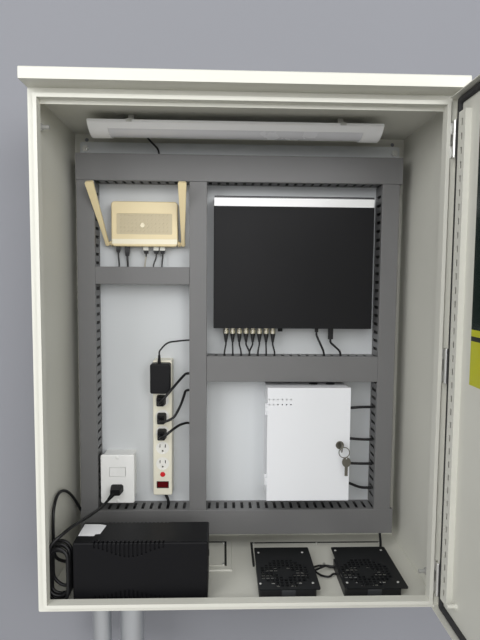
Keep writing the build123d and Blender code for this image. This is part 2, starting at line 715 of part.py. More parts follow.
def antenna_frame(side, splay):
    """The tilt plane of one antenna: local y up the paddle, local z along the tilt pin."""
    lean = math.radians(ANTENNA_LEAN)
    turn = math.radians(splay) * side
    tilt_axis = Vector(0, math.cos(lean), math.sin(lean))
    straight = Vector(0, -math.sin(lean), math.cos(lean))
    upward = straight * math.cos(turn) + Vector(1, 0, 0) * math.sin(turn)
    centre = Vector(ROUTER_X + side * (ROUTER_W / 2 + KNUCKLE_LEN), antenna_y, antenna_z)
    return Plane(origin=centre, x_dir=upward.cross(tilt_axis), z_dir=tilt_axis)


ANTENNAS = {"left": (-1, ANTENNA_SPLAY_LEFT), "right": (1, ANTENNA_SPLAY_RIGHT)}
for name, (side, splay) in ANTENNAS.items():
    frame = antenna_frame(side, splay)
    case_side = ROUTER_X + side * ROUTER_W / 2
    shaft_plane = Plane(origin=(case_side, antenna_y, antenna_z), x_dir=(0, 1, 0), z_dir=(side, 0, 0))
    with BuildPart() as antenna_knuckle:
        with BuildSketch(shaft_plane.offset(DUCT_FIT)):
            Circle(KNUCKLE_R)
        extrude(amount=KNUCKLE_LEN - DUCT_FIT)
        with BuildSketch(shaft_plane.offset(DUCT_FIT)):
            Circle(KNUCKLE_PIN_R)
        extrude(amount=-7)
        with BuildSketch(frame):
            Circle(KNUCKLE_R + 3)
        extrude(amount=KNUCKLE_R + 2, both=True, mode=Mode.SUBTRACT)
        with BuildSketch(frame):
            Circle(KNUCKLE_R - 1)
            with Locations((side * (KNUCKLE_R - 0.9), 0)):
                Rectangle(2 * KNUCKLE_R - 1.8, 2 * KNUCKLE_R - 6)
            Circle(1.5 + PIN_FIT, mode=Mode.SUBTRACT)
        extrude(amount=1.8, both=True)
    save(antenna_knuckle.part, f"antenna_knuckle_{name}")
    with BuildPart() as antenna:
        with BuildSketch(frame):
            with BuildLine():
                Polyline(
                    (-ANTENNA_ROOT_W / 2, 0),
                    (-ANTENNA_ROOT_W / 2, 22),
                    (-ANTENNA_TIP_W / 2, ANTENNA_LEN - 3),
                    (-ANTENNA_TIP_W / 2 + 2, ANTENNA_LEN),
                    (ANTENNA_TIP_W / 2 - 2, ANTENNA_LEN),
                    (ANTENNA_TIP_W / 2, ANTENNA_LEN - 3),
                    (ANTENNA_ROOT_W / 2, 22),
                    (ANTENNA_ROOT_W / 2, 0),
                    close=True,
                )
            make_face()
            Circle(ANTENNA_ROOT_W / 2)
        extrude(amount=ANTENNA_T / 2, both=True)
        with BuildSketch(frame):
            Circle(KNUCKLE_R + 0.5)
        extrude(amount=2.1, both=True, mode=Mode.SUBTRACT)
        with BuildSketch(frame):
            Circle(1.5)
        extrude(amount=ANTENNA_T / 2, both=True)
        long_edges = antenna.edges().filter_by(lambda edge: edge.length > ANTENNA_LEN / 2)
        fillet(long_edges, 1.5)
    save(antenna.part, f"antenna_{name}")


# Router leads: a supply lead, a heavier network lead and three patch leads down to the duct
mid_left_top = DUCT_MID_LEFT_Z + DUCT_SLIM / 2
ROUTER_PLUGS = (
    (-289, 9, 9, 14, 4.0),
    (-268, 11, 9, 22, 5.0),
    (-224, 12, 8, 16, 3.6),
    (-200, 12, 8, 16, 3.6),
    (-185, 12, 8, 16, 3.6),
)
router_tubes = []
for plug_x, _, _, plug_l, lead_d in ROUTER_PLUGS:
    slot_x = nearest_slot("mid_left", plug_x)
    plug_end = router_bottom - plug_l
    router_tubes.append(
        lead(
            [
                (plug_x, antenna_y, plug_end),
                (plug_x, antenna_y, plug_end - 8),
                (slot_x, antenna_y - 4, mid_left_top + 6),
                (slot_x, antenna_y - 5, mid_left_top - 6),
            ],
            lead_d,
        )
    )
with BuildPart() as router_leads:
    for plug_x, plug_w, plug_t, plug_l, _ in ROUTER_PLUGS:
        with BuildSketch(Plane.XY.offset(router_bottom - plug_l)):
            with Locations((plug_x, antenna_y)):
                Rectangle(plug_w * 0.7, plug_t * 0.8)
        with BuildSketch(Plane.XY.offset(router_bottom - plug_l * 0.6)):
            with Locations((plug_x, antenna_y)):
                Rectangle(plug_w, plug_t)
        loft()
        with BuildSketch(Plane.XY.offset(router_bottom - plug_l * 0.6)):
            with Locations((plug_x, antenna_y)):
                Rectangle(plug_w, plug_t)
        extrude(amount=plug_l * 0.6)
    add(router_tubes)
save(router_leads.part, "router_leads")

# Video recorder: a shallow steel case hung by its ears, its sockets facing down
recorder_back = PLATE_Y - RECORDER_FEET
recorder_front = recorder_back - RECORDER_T
recorder_split = RECORDER_BOTTOM_Z + RECORDER_H - 1
jack_y = recorder_back - RECORDER_T / 2
with BuildPart() as recorder_case:
    with BuildSketch(front_plane(recorder_back, RECORDER_X, (RECORDER_BOTTOM_Z + recorder_split) / 2)):
        Rectangle(RECORDER_W, recorder_split - RECORDER_BOTTOM_Z)
    extrude(amount=RECORDER_T)
    upright = recorder_case.edges().filter_by(Axis.Z).group_by(Axis.Y)[0]
    fillet(upright, 2)
    offset(openings=recorder_case.faces().sort_by(Axis.Y)[-1], amount=-1.2)
    with BuildSketch(front_plane(PLATE_Y, RECORDER_X, (RECORDER_BOTTOM_Z + recorder_split) / 2)):
        with GridLocations(RECORDER_W - 50, RECORDER_H - 60, 2, 2):
            Circle(9)
    extrude(amount=RECORDER_FEET + RECORDER_T - 1)
    with BuildSketch(Plane.XY.offset(RECORDER_BOTTOM_Z)):
        with Locations((VIDEO_FIRST_X + (VIDEO_JACKS + 0.1) * VIDEO_PITCH, jack_y)):
            Circle(JACK_R)
    extrude(amount=-JACK_LEN)
save(recorder_case.part, "recorder_case")

with BuildPart() as recorder_bezel:
    with BuildSketch(front_plane(recorder_back + 1, RECORDER_X, recorder_split + BEZEL_H / 2)):
        Rectangle(BEZEL_W, BEZEL_H)
    extrude(amount=BEZEL_T)
    top_edges = recorder_bezel.faces().sort_by(Axis.Z)[-1].edges()
    fillet(top_edges, 3)
save(recorder_bezel.part, "recorder_bezel")

mid_right_top = DUCT_MID_RIGHT_Z + DUCT_WIDE / 2
video_xs = [VIDEO_FIRST_X + i * VIDEO_PITCH for i in range(VIDEO_JACKS)]
with BuildPart() as video_plugs:
    collar_end = RECORDER_BOTTOM_Z - VIDEO_PLUG_LEN
    boot_end = collar_end - VIDEO_BOOT_LEN
    for video_x in video_xs:
        profile_plane = Plane(origin=(video_x, jack_y, 0), x_dir=(1, 0, 0), z_dir=(0, -1, 0))
        with BuildSketch(profile_plane):
            with BuildLine():
                Polyline(
                    (0, RECORDER_BOTTOM_Z),
                    (VIDEO_PLUG_R - 1, RECORDER_BOTTOM_Z),
                    (VIDEO_PLUG_R - 1, RECORDER_BOTTOM_Z - 5),
                    (VIDEO_PLUG_R, RECORDER_BOTTOM_Z - 6),
                    (VIDEO_PLUG_R, collar_end),
                    (VIDEO_PLUG_R - 0.5, collar_end - 1),
                    (VIDEO_LEAD_D / 2 + 0.8, boot_end),
                    (0, boot_end),
                    close=True,
                )
            make_face()
        revolve(axis=Axis((video_x, jack_y, 0), (0, 0, 1)))
save(video_plugs.part, "video_plugs")

video_tubes = []
used_slots = []
for video_x in video_xs:
    slot_x = nearest_slot("mid_right", video_x)
    depth = jack_y - 4 + 9 * used_slots.count(slot_x)
    used_slots.append(slot_x)
    video_tubes.append(
        lead(
            [
                (video_x, jack_y, boot_end),
                (video_x, jack_y, boot_end - 6),
                (slot_x, depth, mid_right_top + 7),
                (slot_x, depth, mid_right_top - 6),
            ],
            VIDEO_LEAD_D,
        )
    )
with BuildPart() as video_leads:
    add(video_tubes)
save(video_leads.part, "video_leads")

RECORDER_PLUGS = ((183, 8, 10, 5.0), (217, 12, 27, 5.0))
recorder_tubes = []
for plug_x, _, plug_l, lead_d in RECORDER_PLUGS:
    slot_x = nearest_slot("mid_right", plug_x + 18)
    plug_end = RECORDER_BOTTOM_Z - plug_l
    recorder_tubes.append(
        lead(
            [
                (plug_x, jack_y, plug_end),
                (plug_x, jack_y, plug_end - 8),
                (slot_x - 2, jack_y - 3, mid_right_top + 9),
                (slot_x, jack_y - 3, mid_right_top - 6),
            ],
            lead_d,
        )
    )
with BuildPart() as recorder_leads:
    for plug_x, plug_w, plug_l, _ in RECORDER_PLUGS:
        with BuildSketch(Plane.XY.offset(RECORDER_BOTTOM_Z - plug_l)):
            with Locations((plug_x, jack_y)):
                RectangleRounded(plug_w, 8, 2)
        extrude(amount=plug_l)
    add(recorder_tubes)
save(recorder_leads.part, "recorder_leads")

# Power strip: a long moulded case with six outlets, a reset button and a lit rocker
strip_front = PLATE_Y - STRIP_T
strip_bottom = STRIP_TOP_Z - STRIP_LEN
strip_mid_z = STRIP_TOP_Z - STRIP_LEN / 2
outlet_zs = [OUTLET_FIRST_Z - i * OUTLET_PITCH for i in range(OUTLETS)]
ROCKER_DEPTH = 7.0
ROCKER_PIVOT_R = 1.2
with BuildPart() as power_strip:
    with BuildSketch(front_plane(PLATE_Y, STRIP_X, strip_mid_z)):
        RectangleRounded(STRIP_W, STRIP_LEN, STRIP_EDGE)
    extrude(amount=STRIP_T)
    fillet(power_strip.faces().sort_by(Axis.Y)[0].edges(), STRIP_EDGE - 1)
    with BuildSketch(front_plane(strip_front, STRIP_X)):
        with Locations([(0, z) for z in outlet_zs]):
            Circle(OUTLET_R)
    extrude(amount=-1, mode=Mode.SUBTRACT)
    with BuildSketch(front_plane(strip_front, STRIP_X)):
        for outlet_z in outlet_zs[-2:]:
            with Locations((-BLADE_HALF_GAP, outlet_z + 4), (BLADE_HALF_GAP, outlet_z + 4)):
                Rectangle(2, 8)
            with Locations((0, outlet_z - 8)):
                Circle(2.4)
    extrude(amount=-14, mode=Mode.SUBTRACT)
    with BuildSketch(front_plane(strip_front, STRIP_X, ROCKER_Z)):
        Rectangle(ROCKER_W + 1, ROCKER_L + 1)
    extrude(amount=-ROCKER_DEPTH - 4, mode=Mode.SUBTRACT)
    with BuildSketch(Plane.XY.offset(ROCKER_Z)):
        with Locations((STRIP_X, strip_front + 2)):
            Circle(ROCKER_PIVOT_R + PIN_FIT)
    extrude(amount=ROCKER_L / 2 + 2, both=True, mode=Mode.SUBTRACT)
    with BuildSketch(front_plane(strip_front, STRIP_X, RESET_Z)):
        Circle(RESET_R + 0.3)
    extrude(amount=-11, mode=Mode.SUBTRACT)
save(power_strip.part, "power_strip")

with BuildPart() as strip_rocker:
    with BuildSketch(Plane.XY.offset(ROCKER_Z - ROCKER_L / 2 + 0.3)):
        with BuildLine():
            Polyline(
                (STRIP_X - ROCKER_W / 2 + 1, strip_front + ROCKER_DEPTH),
                (STRIP_X - ROCKER_W / 2 + 0.4, strip_front + 1),
                (STRIP_X, strip_front - 0.2),
                (STRIP_X + ROCKER_W / 2 - 0.4, strip_front - 2.2),
                (STRIP_X + ROCKER_W / 2 - 1, strip_front + ROCKER_DEPTH - 3),
                close=True,
            )
        make_face()
    extrude(amount=ROCKER_L - 0.6)
    with BuildSketch(Plane.XY.offset(ROCKER_Z)):
        with Locations((STRIP_X, strip_front + 2)):
            Circle(ROCKER_PIVOT_R)
    extrude(amount=ROCKER_L / 2 + 1.5, both=True)
save(strip_rocker.part, "strip_rocker")

with BuildPart() as strip_reset_button:
    with BuildSketch(front_plane(strip_front + 7.5, STRIP_X, RESET_Z)):
        Circle(RESET_R)
    extrude(amount=9.5)
    fillet(strip_reset_button.faces().sort_by(Axis.Y)[0].edges(), 1.5)
save(strip_reset_button.part, "strip_reset_button")

# Plugs in the strip: a block adapter with its relief, and three moulded plugs
ADAPTER = (-186.5, -76.5, 46.0, 70.0, 28.0)
STRIP_PLUGS = ((-187.0, outlet_zs[1]), (-185.6, outlet_zs[2] - 4), (-185.0, outlet_zs[3] - 4))
PLUG_W = 22.0
PLUG_H = 25.0
PLUG_T = 22.0
PLUG_BOOT = 12.0
plug_seat = strip_front + 1
adapter_x, adapter_z, adapter_w, adapter_h, adapter_t = ADAPTER
adapter_relief_x = adapter_x - 3
adapter_top = adapter_z + adapter_h / 2
with BuildPart() as strip_plugs:
    with BuildSketch(front_plane(strip_front - 0.5, adapter_x, adapter_z)):
        RectangleRounded(adapter_w, adapter_h, 5)
    extrude(amount=adapter_t)
    fillet(strip_plugs.faces().sort_by(Axis.Y)[0].edges(), 3)
    with BuildSketch(front_plane(strip_front, adapter_x, outlet_zs[0])):
        Circle(OUTLET_R - 4)
    extrude(amount=-1)
    with BuildSketch(Plane.XY.offset(adapter_top - 1)):
        with Locations((adapter_relief_x, strip_front - adapter_t / 2)):
            Circle(4.2)
    extrude(amount=20, taper=4)
    for plug_x, plug_z in STRIP_PLUGS:
        with BuildSketch(front_plane(plug_seat - 1, plug_x, plug_z)):
            RectangleRounded(PLUG_W, PLUG_H, 5)
        extrude(amount=PLUG_T, taper=6)
        with BuildSketch(front_plane(plug_seat - 1 - PLUG_T, plug_x, plug_z)):
            Circle(6)
        extrude(amount=PLUG_BOOT, taper=8)
save(strip_plugs.part, "strip_plugs")

centre_duct_side = DUCT_CENTRE_X - DUCT_SLIM / 2
boot_y = plug_seat - 1 - PLUG_T - PLUG_BOOT
relief_end = adapter_top + 19
slot_one, slot_two, slot_three = (nearest_slot("centre", z) for z in (-73, -112, -187))
slot_adapter = nearest_slot("centre", 20)
STRIP_ROUTES = (
    (
        4.0,
        [
            (adapter_relief_x, strip_front - adapter_t / 2, relief_end),
            (adapter_relief_x, strip_front - adapter_t / 2, relief_end + 9),
            (-172, strip_front - 9, slot_adapter - 4),
            (-140, strip_front - 2, slot_adapter - 1),
            (centre_duct_side - 8, strip_front + 2, slot_adapter),
            (centre_duct_side + 4, strip_front + 2, slot_adapter),
        ],
    ),
    (
        6.0,
        [
            (STRIP_PLUGS[0][0], boot_y, STRIP_PLUGS[0][1]),
            (STRIP_PLUGS[0][0], boot_y - 10, STRIP_PLUGS[0][1]),
            (STRIP_PLUGS[0][0] + 9, boot_y - 18, STRIP_PLUGS[0][1] + 12),
            (-162, boot_y - 12, STRIP_PLUGS[0][1] + 30),
            (-141, boot_y + 13, slot_one - 10),
            (centre_duct_side - 10, strip_front + 5, slot_one),
            (centre_duct_side + 4, strip_front + 5, slot_one),
        ],
    ),
    (
        6.0,
        [
            (STRIP_PLUGS[1][0], boot_y, STRIP_PLUGS[1][1]),
            (STRIP_PLUGS[1][0], boot_y - 9, STRIP_PLUGS[1][1]),
            (STRIP_PLUGS[1][0] + 14, boot_y - 16, STRIP_PLUGS[1][1] + 4),
            (-153, boot_y - 10, -164),
            (-138, boot_y + 8, -138),
            (centre_duct_side - 10, strip_front + 5, slot_two),
            (centre_duct_side + 4, strip_front + 5, slot_two),
        ],
    ),
    (
        6.0,
        [
            (STRIP_PLUGS[2][0], boot_y, STRIP_PLUGS[2][1]),
            (STRIP_PLUGS[2][0], boot_y - 9, STRIP_PLUGS[2][1]),
            (STRIP_PLUGS[2][0] + 12, boot_y - 15, STRIP_PLUGS[2][1] + 9),
            (-158, boot_y - 9, -193),
            (-142, boot_y + 12, -186),
            (centre_duct_side - 10, strip_front + 5, slot_three),
            (centre_duct_side + 4, strip_front + 5, slot_three),
        ],
    ),
    (
        7.0,
        [
            (-179, PLATE_Y - 18, strip_bottom),
            (-179, PLATE_Y - 18, strip_bottom - 8),
            (nearest_slot("bottom", -175), PLATE_Y - 20, DUCT_BOTTOM_Z + DUCT_WIDE / 2 + 8),
            (nearest_slot("bottom", -175), PLATE_Y - 20, DUCT_BOTTOM_Z + DUCT_WIDE / 2 - 6),
        ],
    ),
)
strip_tubes = [lead(points, width) for width, points in STRIP_ROUTES]
with BuildPart() as strip_leads:
    add(strip_tubes)
save(strip_leads.part, "strip_leads")

# Wall socket box with its faceplate, rocker switch and one plug
socket_front = PLATE_Y - SOCKET_BOX_T
faceplate_front = socket_front - FACEPLATE_T
SWITCH_Z = -303.5
SWITCH_W = 38.0
SWITCH_H = 21.0
with BuildPart() as socket_box:
    with BuildSketch(front_plane(PLATE_Y, SOCKET_X, SOCKET_Z)):
        RectangleRounded(SOCKET_W, SOCKET_H, 4)
    extrude(amount=SOCKET_BOX_T)
    offset(openings=socket_box.faces().sort_by(Axis.Y)[0], amount=-2.5)
save(socket_box.part, "socket_box")

with BuildPart() as socket_faceplate:
    with BuildSketch(front_plane(socket_front, SOCKET_X, SOCKET_Z)):
        RectangleRounded(FACEPLATE_W, FACEPLATE_H, 5)
    extrude(amount=FACEPLATE_T)
    fillet(socket_faceplate.faces().sort_by(Axis.Y)[0].edges(), 2.5)
    with BuildSketch(front_plane(faceplate_front, SOCKET_X, SWITCH_Z)):
        Rectangle(SWITCH_W + 1, SWITCH_H + 1)
    extrude(amount=-FACEPLATE_T, mode=Mode.SUBTRACT)
    with BuildSketch(Plane.XY.offset(SWITCH_Z)):
        with Locations((SOCKET_X, faceplate_front + 3)):
            Circle(ROCKER_PIVOT_R + PIN_FIT)
    extrude(amount=SWITCH_H / 2 + 2, both=True, mode=Mode.SUBTRACT)
save(socket_faceplate.part, "socket_faceplate")

with BuildPart() as socket_switch:
    with BuildSketch(Plane.XY.offset(SWITCH_Z - SWITCH_H / 2 + 0.2)):
        with BuildLine():
            Polyline(
                (SOCKET_X - SWITCH_W / 2 + 0.8, faceplate_front + 5),
                (SOCKET_X - SWITCH_W / 2 + 0.3, faceplate_front - 0.2),
                (SOCKET_X, faceplate_front + 0.3),
                (SOCKET_X + SWITCH_W / 2 - 0.3, faceplate_front - 1.6),
                (SOCKET_X + SWITCH_W / 2 - 0.8, faceplate_front + 3.6),
                close=True,
            )
        make_face()
    extrude(amount=SWITCH_H - 0.4)
    with BuildSketch(Plane.XY.offset(SWITCH_Z)):
        with Locations((SOCKET_X, faceplate_front + 3)):
            Circle(ROCKER_PIVOT_R)
    extrude(amount=SWITCH_H / 2 + 1.5, both=True)
save(socket_switch.part, "socket_switch")

# Uninterruptible supply: a moulded case on its side, standing on four feet
ups_base = FLOOR_Z + UPS_FOOT_H
ups_top = ups_base + UPS_H
ups_y = UPS_FRONT_Y + UPS_D / 2
ups_left = UPS_X - UPS_W / 2
ups_right = UPS_X + UPS_W / 2
UPS_BUTTON_R = 7.0
UPS_INLET_Y = -247.0
UPS_INLET_Z = -478.0
FEED_INLET_Y = -216.0
FEED_INLET_Z = -446.0
with BuildPart() as ups_case:
    with BuildSketch(Plane.XY.offset(ups_base)):
        with Locations((UPS_X, ups_y)):
            Rectangle(UPS_W, UPS_D)
    extrude(amount=UPS_H)
    long_rims = ups_case.edges().filter_by(Axis.X)
    fillet(long_rims, UPS_EDGE)
    end_rims = ups_case.faces().filter_by(Axis.X).edges()
    fillet(end_rims, 3)
    middle = (VENTS - 1) / 2
    with BuildSketch(front_plane(UPS_FRONT_Y, UPS_X - 5)):
        for i in range(VENTS):
            swell = 20 + 10 * math.cos((i - middle) / middle * math.pi * 0.9)
            with Locations(((i - middle) * VENT_PITCH - 18, ups_top - swell / 2)):
                Rectangle(VENT_W, swell)
            rise = 8 + 12 * math.exp(-(((i - middle) / 4) ** 2))
            with Locations(((i - middle) * VENT_PITCH - 18, ups_base + UPS_EDGE + rise / 2)):
                Rectangle(VENT_W, rise)
    extrude(amount=-VENT_DEPTH, mode=Mode.SUBTRACT)
    with BuildSketch(Plane.XY.offset(ups_top)):
        with Locations((UPS_X - 23, UPS_FRONT_Y + UPS_D / 2)):
            with GridLocations(VENT_PITCH, UPS_D - 8, VENTS, 2):
                Rectangle(VENT_W, 8)
    extrude(amount=-VENT_DEPTH, mode=Mode.SUBTRACT)
    with BuildSketch(Plane.XY.offset(ups_base)):
        with Locations((UPS_X, ups_y)):
            with GridLocations(UPS_W - 44, UPS_D - 34, 2, 2):
                Circle(UPS_FOOT_R)
    extrude(amount=-UPS_FOOT_H)
    with BuildSketch(Plane.YZ.offset(ups_right)):
        with Locations((ups_y, ups_base + UPS_H * 0.62)):
            Circle(UPS_BUTTON_R + 0.3)
    extrude(amount=-10, mode=Mode.SUBTRACT)
    with BuildSketch(Plane.YZ.offset(ups_left)):
        with Locations((UPS_INLET_Y, UPS_INLET_Z), (FEED_INLET_Y, FEED_INLET_Z)):
            Circle(6)
    extrude(amount=-5, taper=10)
save(ups_case.part, "ups_case")

with BuildPart() as ups_button:
    with BuildSketch(Plane.YZ.offset(ups_right - 7.5)):
        with Locations((ups_y, ups_base + UPS_H * 0.62)):
            Circle(UPS_BUTTON_R)
    extrude(amount=9)
    fillet(ups_button.faces().sort_by(Axis.X)[-1].edges(), 1)
save(ups_button.part, "ups_button")

# Supply cord of the UPS: plug in the wall socket, a free stretch, and a tied hank beside the case
UPS_PLUG_X = -291.0
UPS_PLUG_Z = -344.0
UPS_CORD_D = 6.6
boot_start = Vector(UPS_PLUG_X - 4, faceplate_front - 20, UPS_PLUG_Z - 3)
boot_stop = Vector(-304, faceplate_front - 36, -356)
with BuildPart() as ups_plug:
    with BuildSketch(front_plane(faceplate_front, UPS_PLUG_X, UPS_PLUG_Z)):
        RectangleRounded(30, 21, 6)
    extrude(amount=26, taper=8)
    with BuildSketch(Plane(origin=boot_start, z_dir=boot_stop - boot_start)):
        Circle(6)
    extrude(amount=(boot_stop - boot_start).length, taper=7)
save(ups_plug.part, "ups_plug")

HANK = (-391.0, -345.0, -284.0, -243.5, -498.0, -378.0)
hank_x0, hank_x1, hank_y0, hank_y1, hank_z0, hank_z1 = HANK
with BuildPart() as ups_cord_hank:
    with BuildSketch(front_plane(hank_y1, (hank_x0 + hank_x1) / 2, (hank_z0 + hank_z1) / 2)):
        RectangleRounded(hank_x1 - hank_x0, hank_z1 - hank_z0, 16)
    extrude(amount=hank_y1 - hank_y0)
    fillet(ups_cord_hank.faces().filter_by(Axis.Y).edges(), 3)
save(ups_cord_hank.part, "ups_cord_hank")

UPS_CORD_ROUTE = [
    tuple(boot_stop),
    tuple(boot_stop + (boot_stop - boot_start).normalized() * 18),
    (-326, -172, -361),
    (-342, -224, -357),
    (-350.5, -246, -355),
    (-357, -264, -360.5),
    (-364, -273.3, hank_z1 - 2.8),
]
ups_cord_tube = lead(UPS_CORD_ROUTE, UPS_CORD_D)
with BuildPart() as ups_cord:
    add(ups_cord_tube)
    with BuildSketch(Plane.XY.offset(hank_z1)):
        with Locations((-364, -273)):
            Rectangle(20, 20)
    extrude(amount=-10, mode=Mode.SUBTRACT)
    with BuildSketch(Plane.YZ.offset(ups_left - 5)):
        with Locations((UPS_INLET_Y, UPS_INLET_Z)):
            Circle(UPS_CORD_D / 2)
    extrude(amount=-(ups_left - 5 - hank_x1))
save(ups_cord.part, "ups_cord")

# Feed cord of the strip: out of the end of the bottom duct, over a loop and down into the UPS
FEED_CORD_D = 6.6
FEED_ROUTE = [
    (-373.5, -56, -421),
    (-380, -66, -400),
    (-385, -90, -366),
    (-389, -126, -331),
    (-391.5, -166, -309),
    (-392, -203, -305),
    (-391.5, -230, -326),
    (-391, -234, -362),
    (-390.5, -234, -398),
    (-390, -231, -428),
    (-372.5, -216, -446),
    (ups_left - 5, FEED_INLET_Y, FEED_INLET_Z),
]
strip_feed_cord = lead(FEED_ROUTE, FEED_CORD_D)
save(strip_feed_cord, "strip_feed_cord")
print("ups_cord radii", [round(r, 1) for r in corner_radii(UPS_CORD_ROUTE)])
print("strip_feed_cord radii", [round(r, 1) for r in corner_radii(FEED_ROUTE)])

# Two slim fans over slots in the floor, each under a steel cover with a pierced guard
fan_y = FAN_FRONT_Y + FAN_SIZE / 2
cover_y = FAN_FRONT_Y - COVER_LEAD + COVER_L / 2
fan_top = FLOOR_Z + FAN_T
FAN_SPOKE_T = 3.0
FAN_POST_R = 2.0
fan_xs = (FAN_LEFT_X, FAN_RIGHT_X)
with BuildPart() as fan_frames:
    for fan_x in fan_xs:
        with BuildSketch(Plane.XY.offset(FLOOR_Z)):
            with Locations((fan_x, fan_y)):
                RectangleRounded(FAN_SIZE, FAN_SIZE, 6)
                Circle(FAN_DUCT_R, mode=Mode.SUBTRACT)
                with GridLocations(105, 105, 2, 2):
                    Circle(2.2, mode=Mode.SUBTRACT)
        extrude(amount=FAN_T)
        with BuildSketch(Plane.XY.offset(FLOOR_Z)):
            with Locations((fan_x, fan_y)):
                Rectangle(2 * FAN_DUCT_R + 1, 6)
                Rectangle(6, 2 * FAN_DUCT_R + 1)
                Circle(FAN_HUB_R)
        extrude(amount=FAN_SPOKE_T)
        with BuildSketch(Plane.XY.offset(FLOOR_Z)):
            with Locations((fan_x, fan_y)):
                Circle(FAN_POST_R)
        extrude(amount=FAN_T - 4)
save(fan_frames.part, "fan_frames")

FAN_IMPELLER_BASE = FLOOR_Z + FAN_SPOKE_T + 1
FAN_IMPELLER_H = 12.5
for side, fan_x in zip(("left", "right"), fan_xs):
    with BuildPart() as fan_impeller:
        with BuildSketch(Plane.XY.offset(FAN_IMPELLER_BASE)):
            with Locations((fan_x, fan_y)):
                Circle(FAN_HUB_R - 0.5)
        extrude(amount=FAN_IMPELLER_H)
        for blade in range(FAN_BLADES):
            angle = 360 / FAN_BLADES * blade
            radial = Vector(math.cos(math.radians(angle)), math.sin(math.radians(angle)), 0)
            hub_point = Vector(fan_x, fan_y, FAN_IMPELLER_BASE + FAN_IMPELLER_H / 2)
            root = Plane(origin=hub_point + radial * (FAN_HUB_R - 3), x_dir=(0, 0, 1), z_dir=radial)
            tip = Plane(origin=hub_point + radial * (FAN_BLADE_R - 0.5), x_dir=(0, 0, 1), z_dir=radial)
            with BuildSketch(root.rotated((0, 0, 52))):
                Rectangle(1.6, 15)
            with BuildSketch(tip.rotated((0, 0, 68))):
                Rectangle(1.4, 22)
            loft()
        with BuildSketch(Plane.XY.offset(FAN_IMPELLER_BASE)):
            with Locations((fan_x, fan_y)):
                Circle(FAN_BLADE_R)
        extrude(amount=FAN_IMPELLER_H, mode=Mode.INTERSECT)
        with BuildSketch(Plane.XY.offset(FAN_IMPELLER_BASE)):
            with Locations((fan_x, fan_y)):
                Circle(FAN_POST_R + PIN_FIT)
        extrude(amount=FAN_T - 7.5, mode=Mode.SUBTRACT)
    save(fan_impeller.part, f"fan_impeller_{side}")

with BuildPart() as fan_covers:
    for fan_x, shift in zip(fan_xs, COVER_SHIFT):
        with BuildSketch(Plane.XY.offset(fan_top)):
            with Locations((fan_x + shift, cover_y)):
                RectangleRounded(COVER_W, COVER_L, 4)
        extrude(amount=COVER_T)
        holes = []
        reach = int(GUARD_R // GUARD_PITCH) + 1
        for i in range(-reach, reach + 1):
            for j in range(-reach, reach + 1):
                distance = math.hypot(i * GUARD_PITCH, j * GUARD_PITCH)
                if GUARD_HUB_R < distance < GUARD_R - GUARD_PITCH / 2:
                    holes.append((fan_x + i * GUARD_PITCH, fan_y + j * GUARD_PITCH))
        with BuildSketch(Plane.XY.offset(fan_top)):
            with Locations(holes):
                Rectangle(GUARD_PITCH - GUARD_BAR, GUARD_PITCH - GUARD_BAR)
        extrude(amount=COVER_T, mode=Mode.SUBTRACT)
save(fan_covers.part, "fan_covers")

fan_wire_z = FLOOR_Z + 8
fan_slot_x = nearest_slot("bottom", 350)
bottom_duct_under = DUCT_BOTTOM_Z - DUCT_WIDE / 2
left_fan_side = FAN_LEFT_X + FAN_SIZE / 2
right_fan_side = FAN_RIGHT_X - FAN_SIZE / 2
FAN_WIRES = (
    (
        6.0,
        [
            (fan_slot_x, PLATE_Y - 35, bottom_duct_under + 5),
            (fan_slot_x, PLATE_Y - 36, bottom_duct_under - 9),
            (fan_slot_x - 1, PLATE_Y - 50, bottom_duct_under - 26),
            (336, -108, fan_wire_z - 1),
            (320, -128, fan_wire_z - 2),
            (318, fan_y + FAN_SIZE / 2 + 8, fan_wire_z - 2),
            (318, fan_y + FAN_SIZE / 2, fan_wire_z - 2),
        ],
    ),
    (
        4.4,
        [
            (left_fan_side, -164, fan_wire_z - 3),
            (left_fan_side + 8, -164, fan_wire_z - 3),
            (178, -156, fan_wire_z - 3),
            (195, -156, fan_wire_z - 3),
            (right_fan_side - 8, -164, fan_wire_z - 3),
            (right_fan_side, -164, fan_wire_z - 3),
        ],
    ),
    (
        4.4,
        [
            (left_fan_side, -176, fan_wire_z - 3),
            (left_fan_side + 10, -176, fan_wire_z - 3),
            (180, -196, fan_wire_z - 4),
            (196, -200, fan_wire_z - 4),
            (right_fan_side - 8, -190, fan_wire_z - 3),
            (right_fan_side, -190, fan_wire_z - 3),
        ],
    ),
    (
        4.4,
        [
            (left_fan_side, -189, fan_wire_z + 5),
            (left_fan_side + 9, -189, fan_wire_z + 5),
            (179, -181, fan_wire_z + 6),
            (194, -171, fan_wire_z + 6),
            (right_fan_side - 8, -174, fan_wire_z + 5),
            (right_fan_side, -174, fan_wire_z + 5),
        ],
    ),
)
fan_tubes = [lead(points, width) for width, points in FAN_WIRES]
with BuildPart() as fan_leads:
    add(fan_tubes)
save(fan_leads.part, "fan_leads")

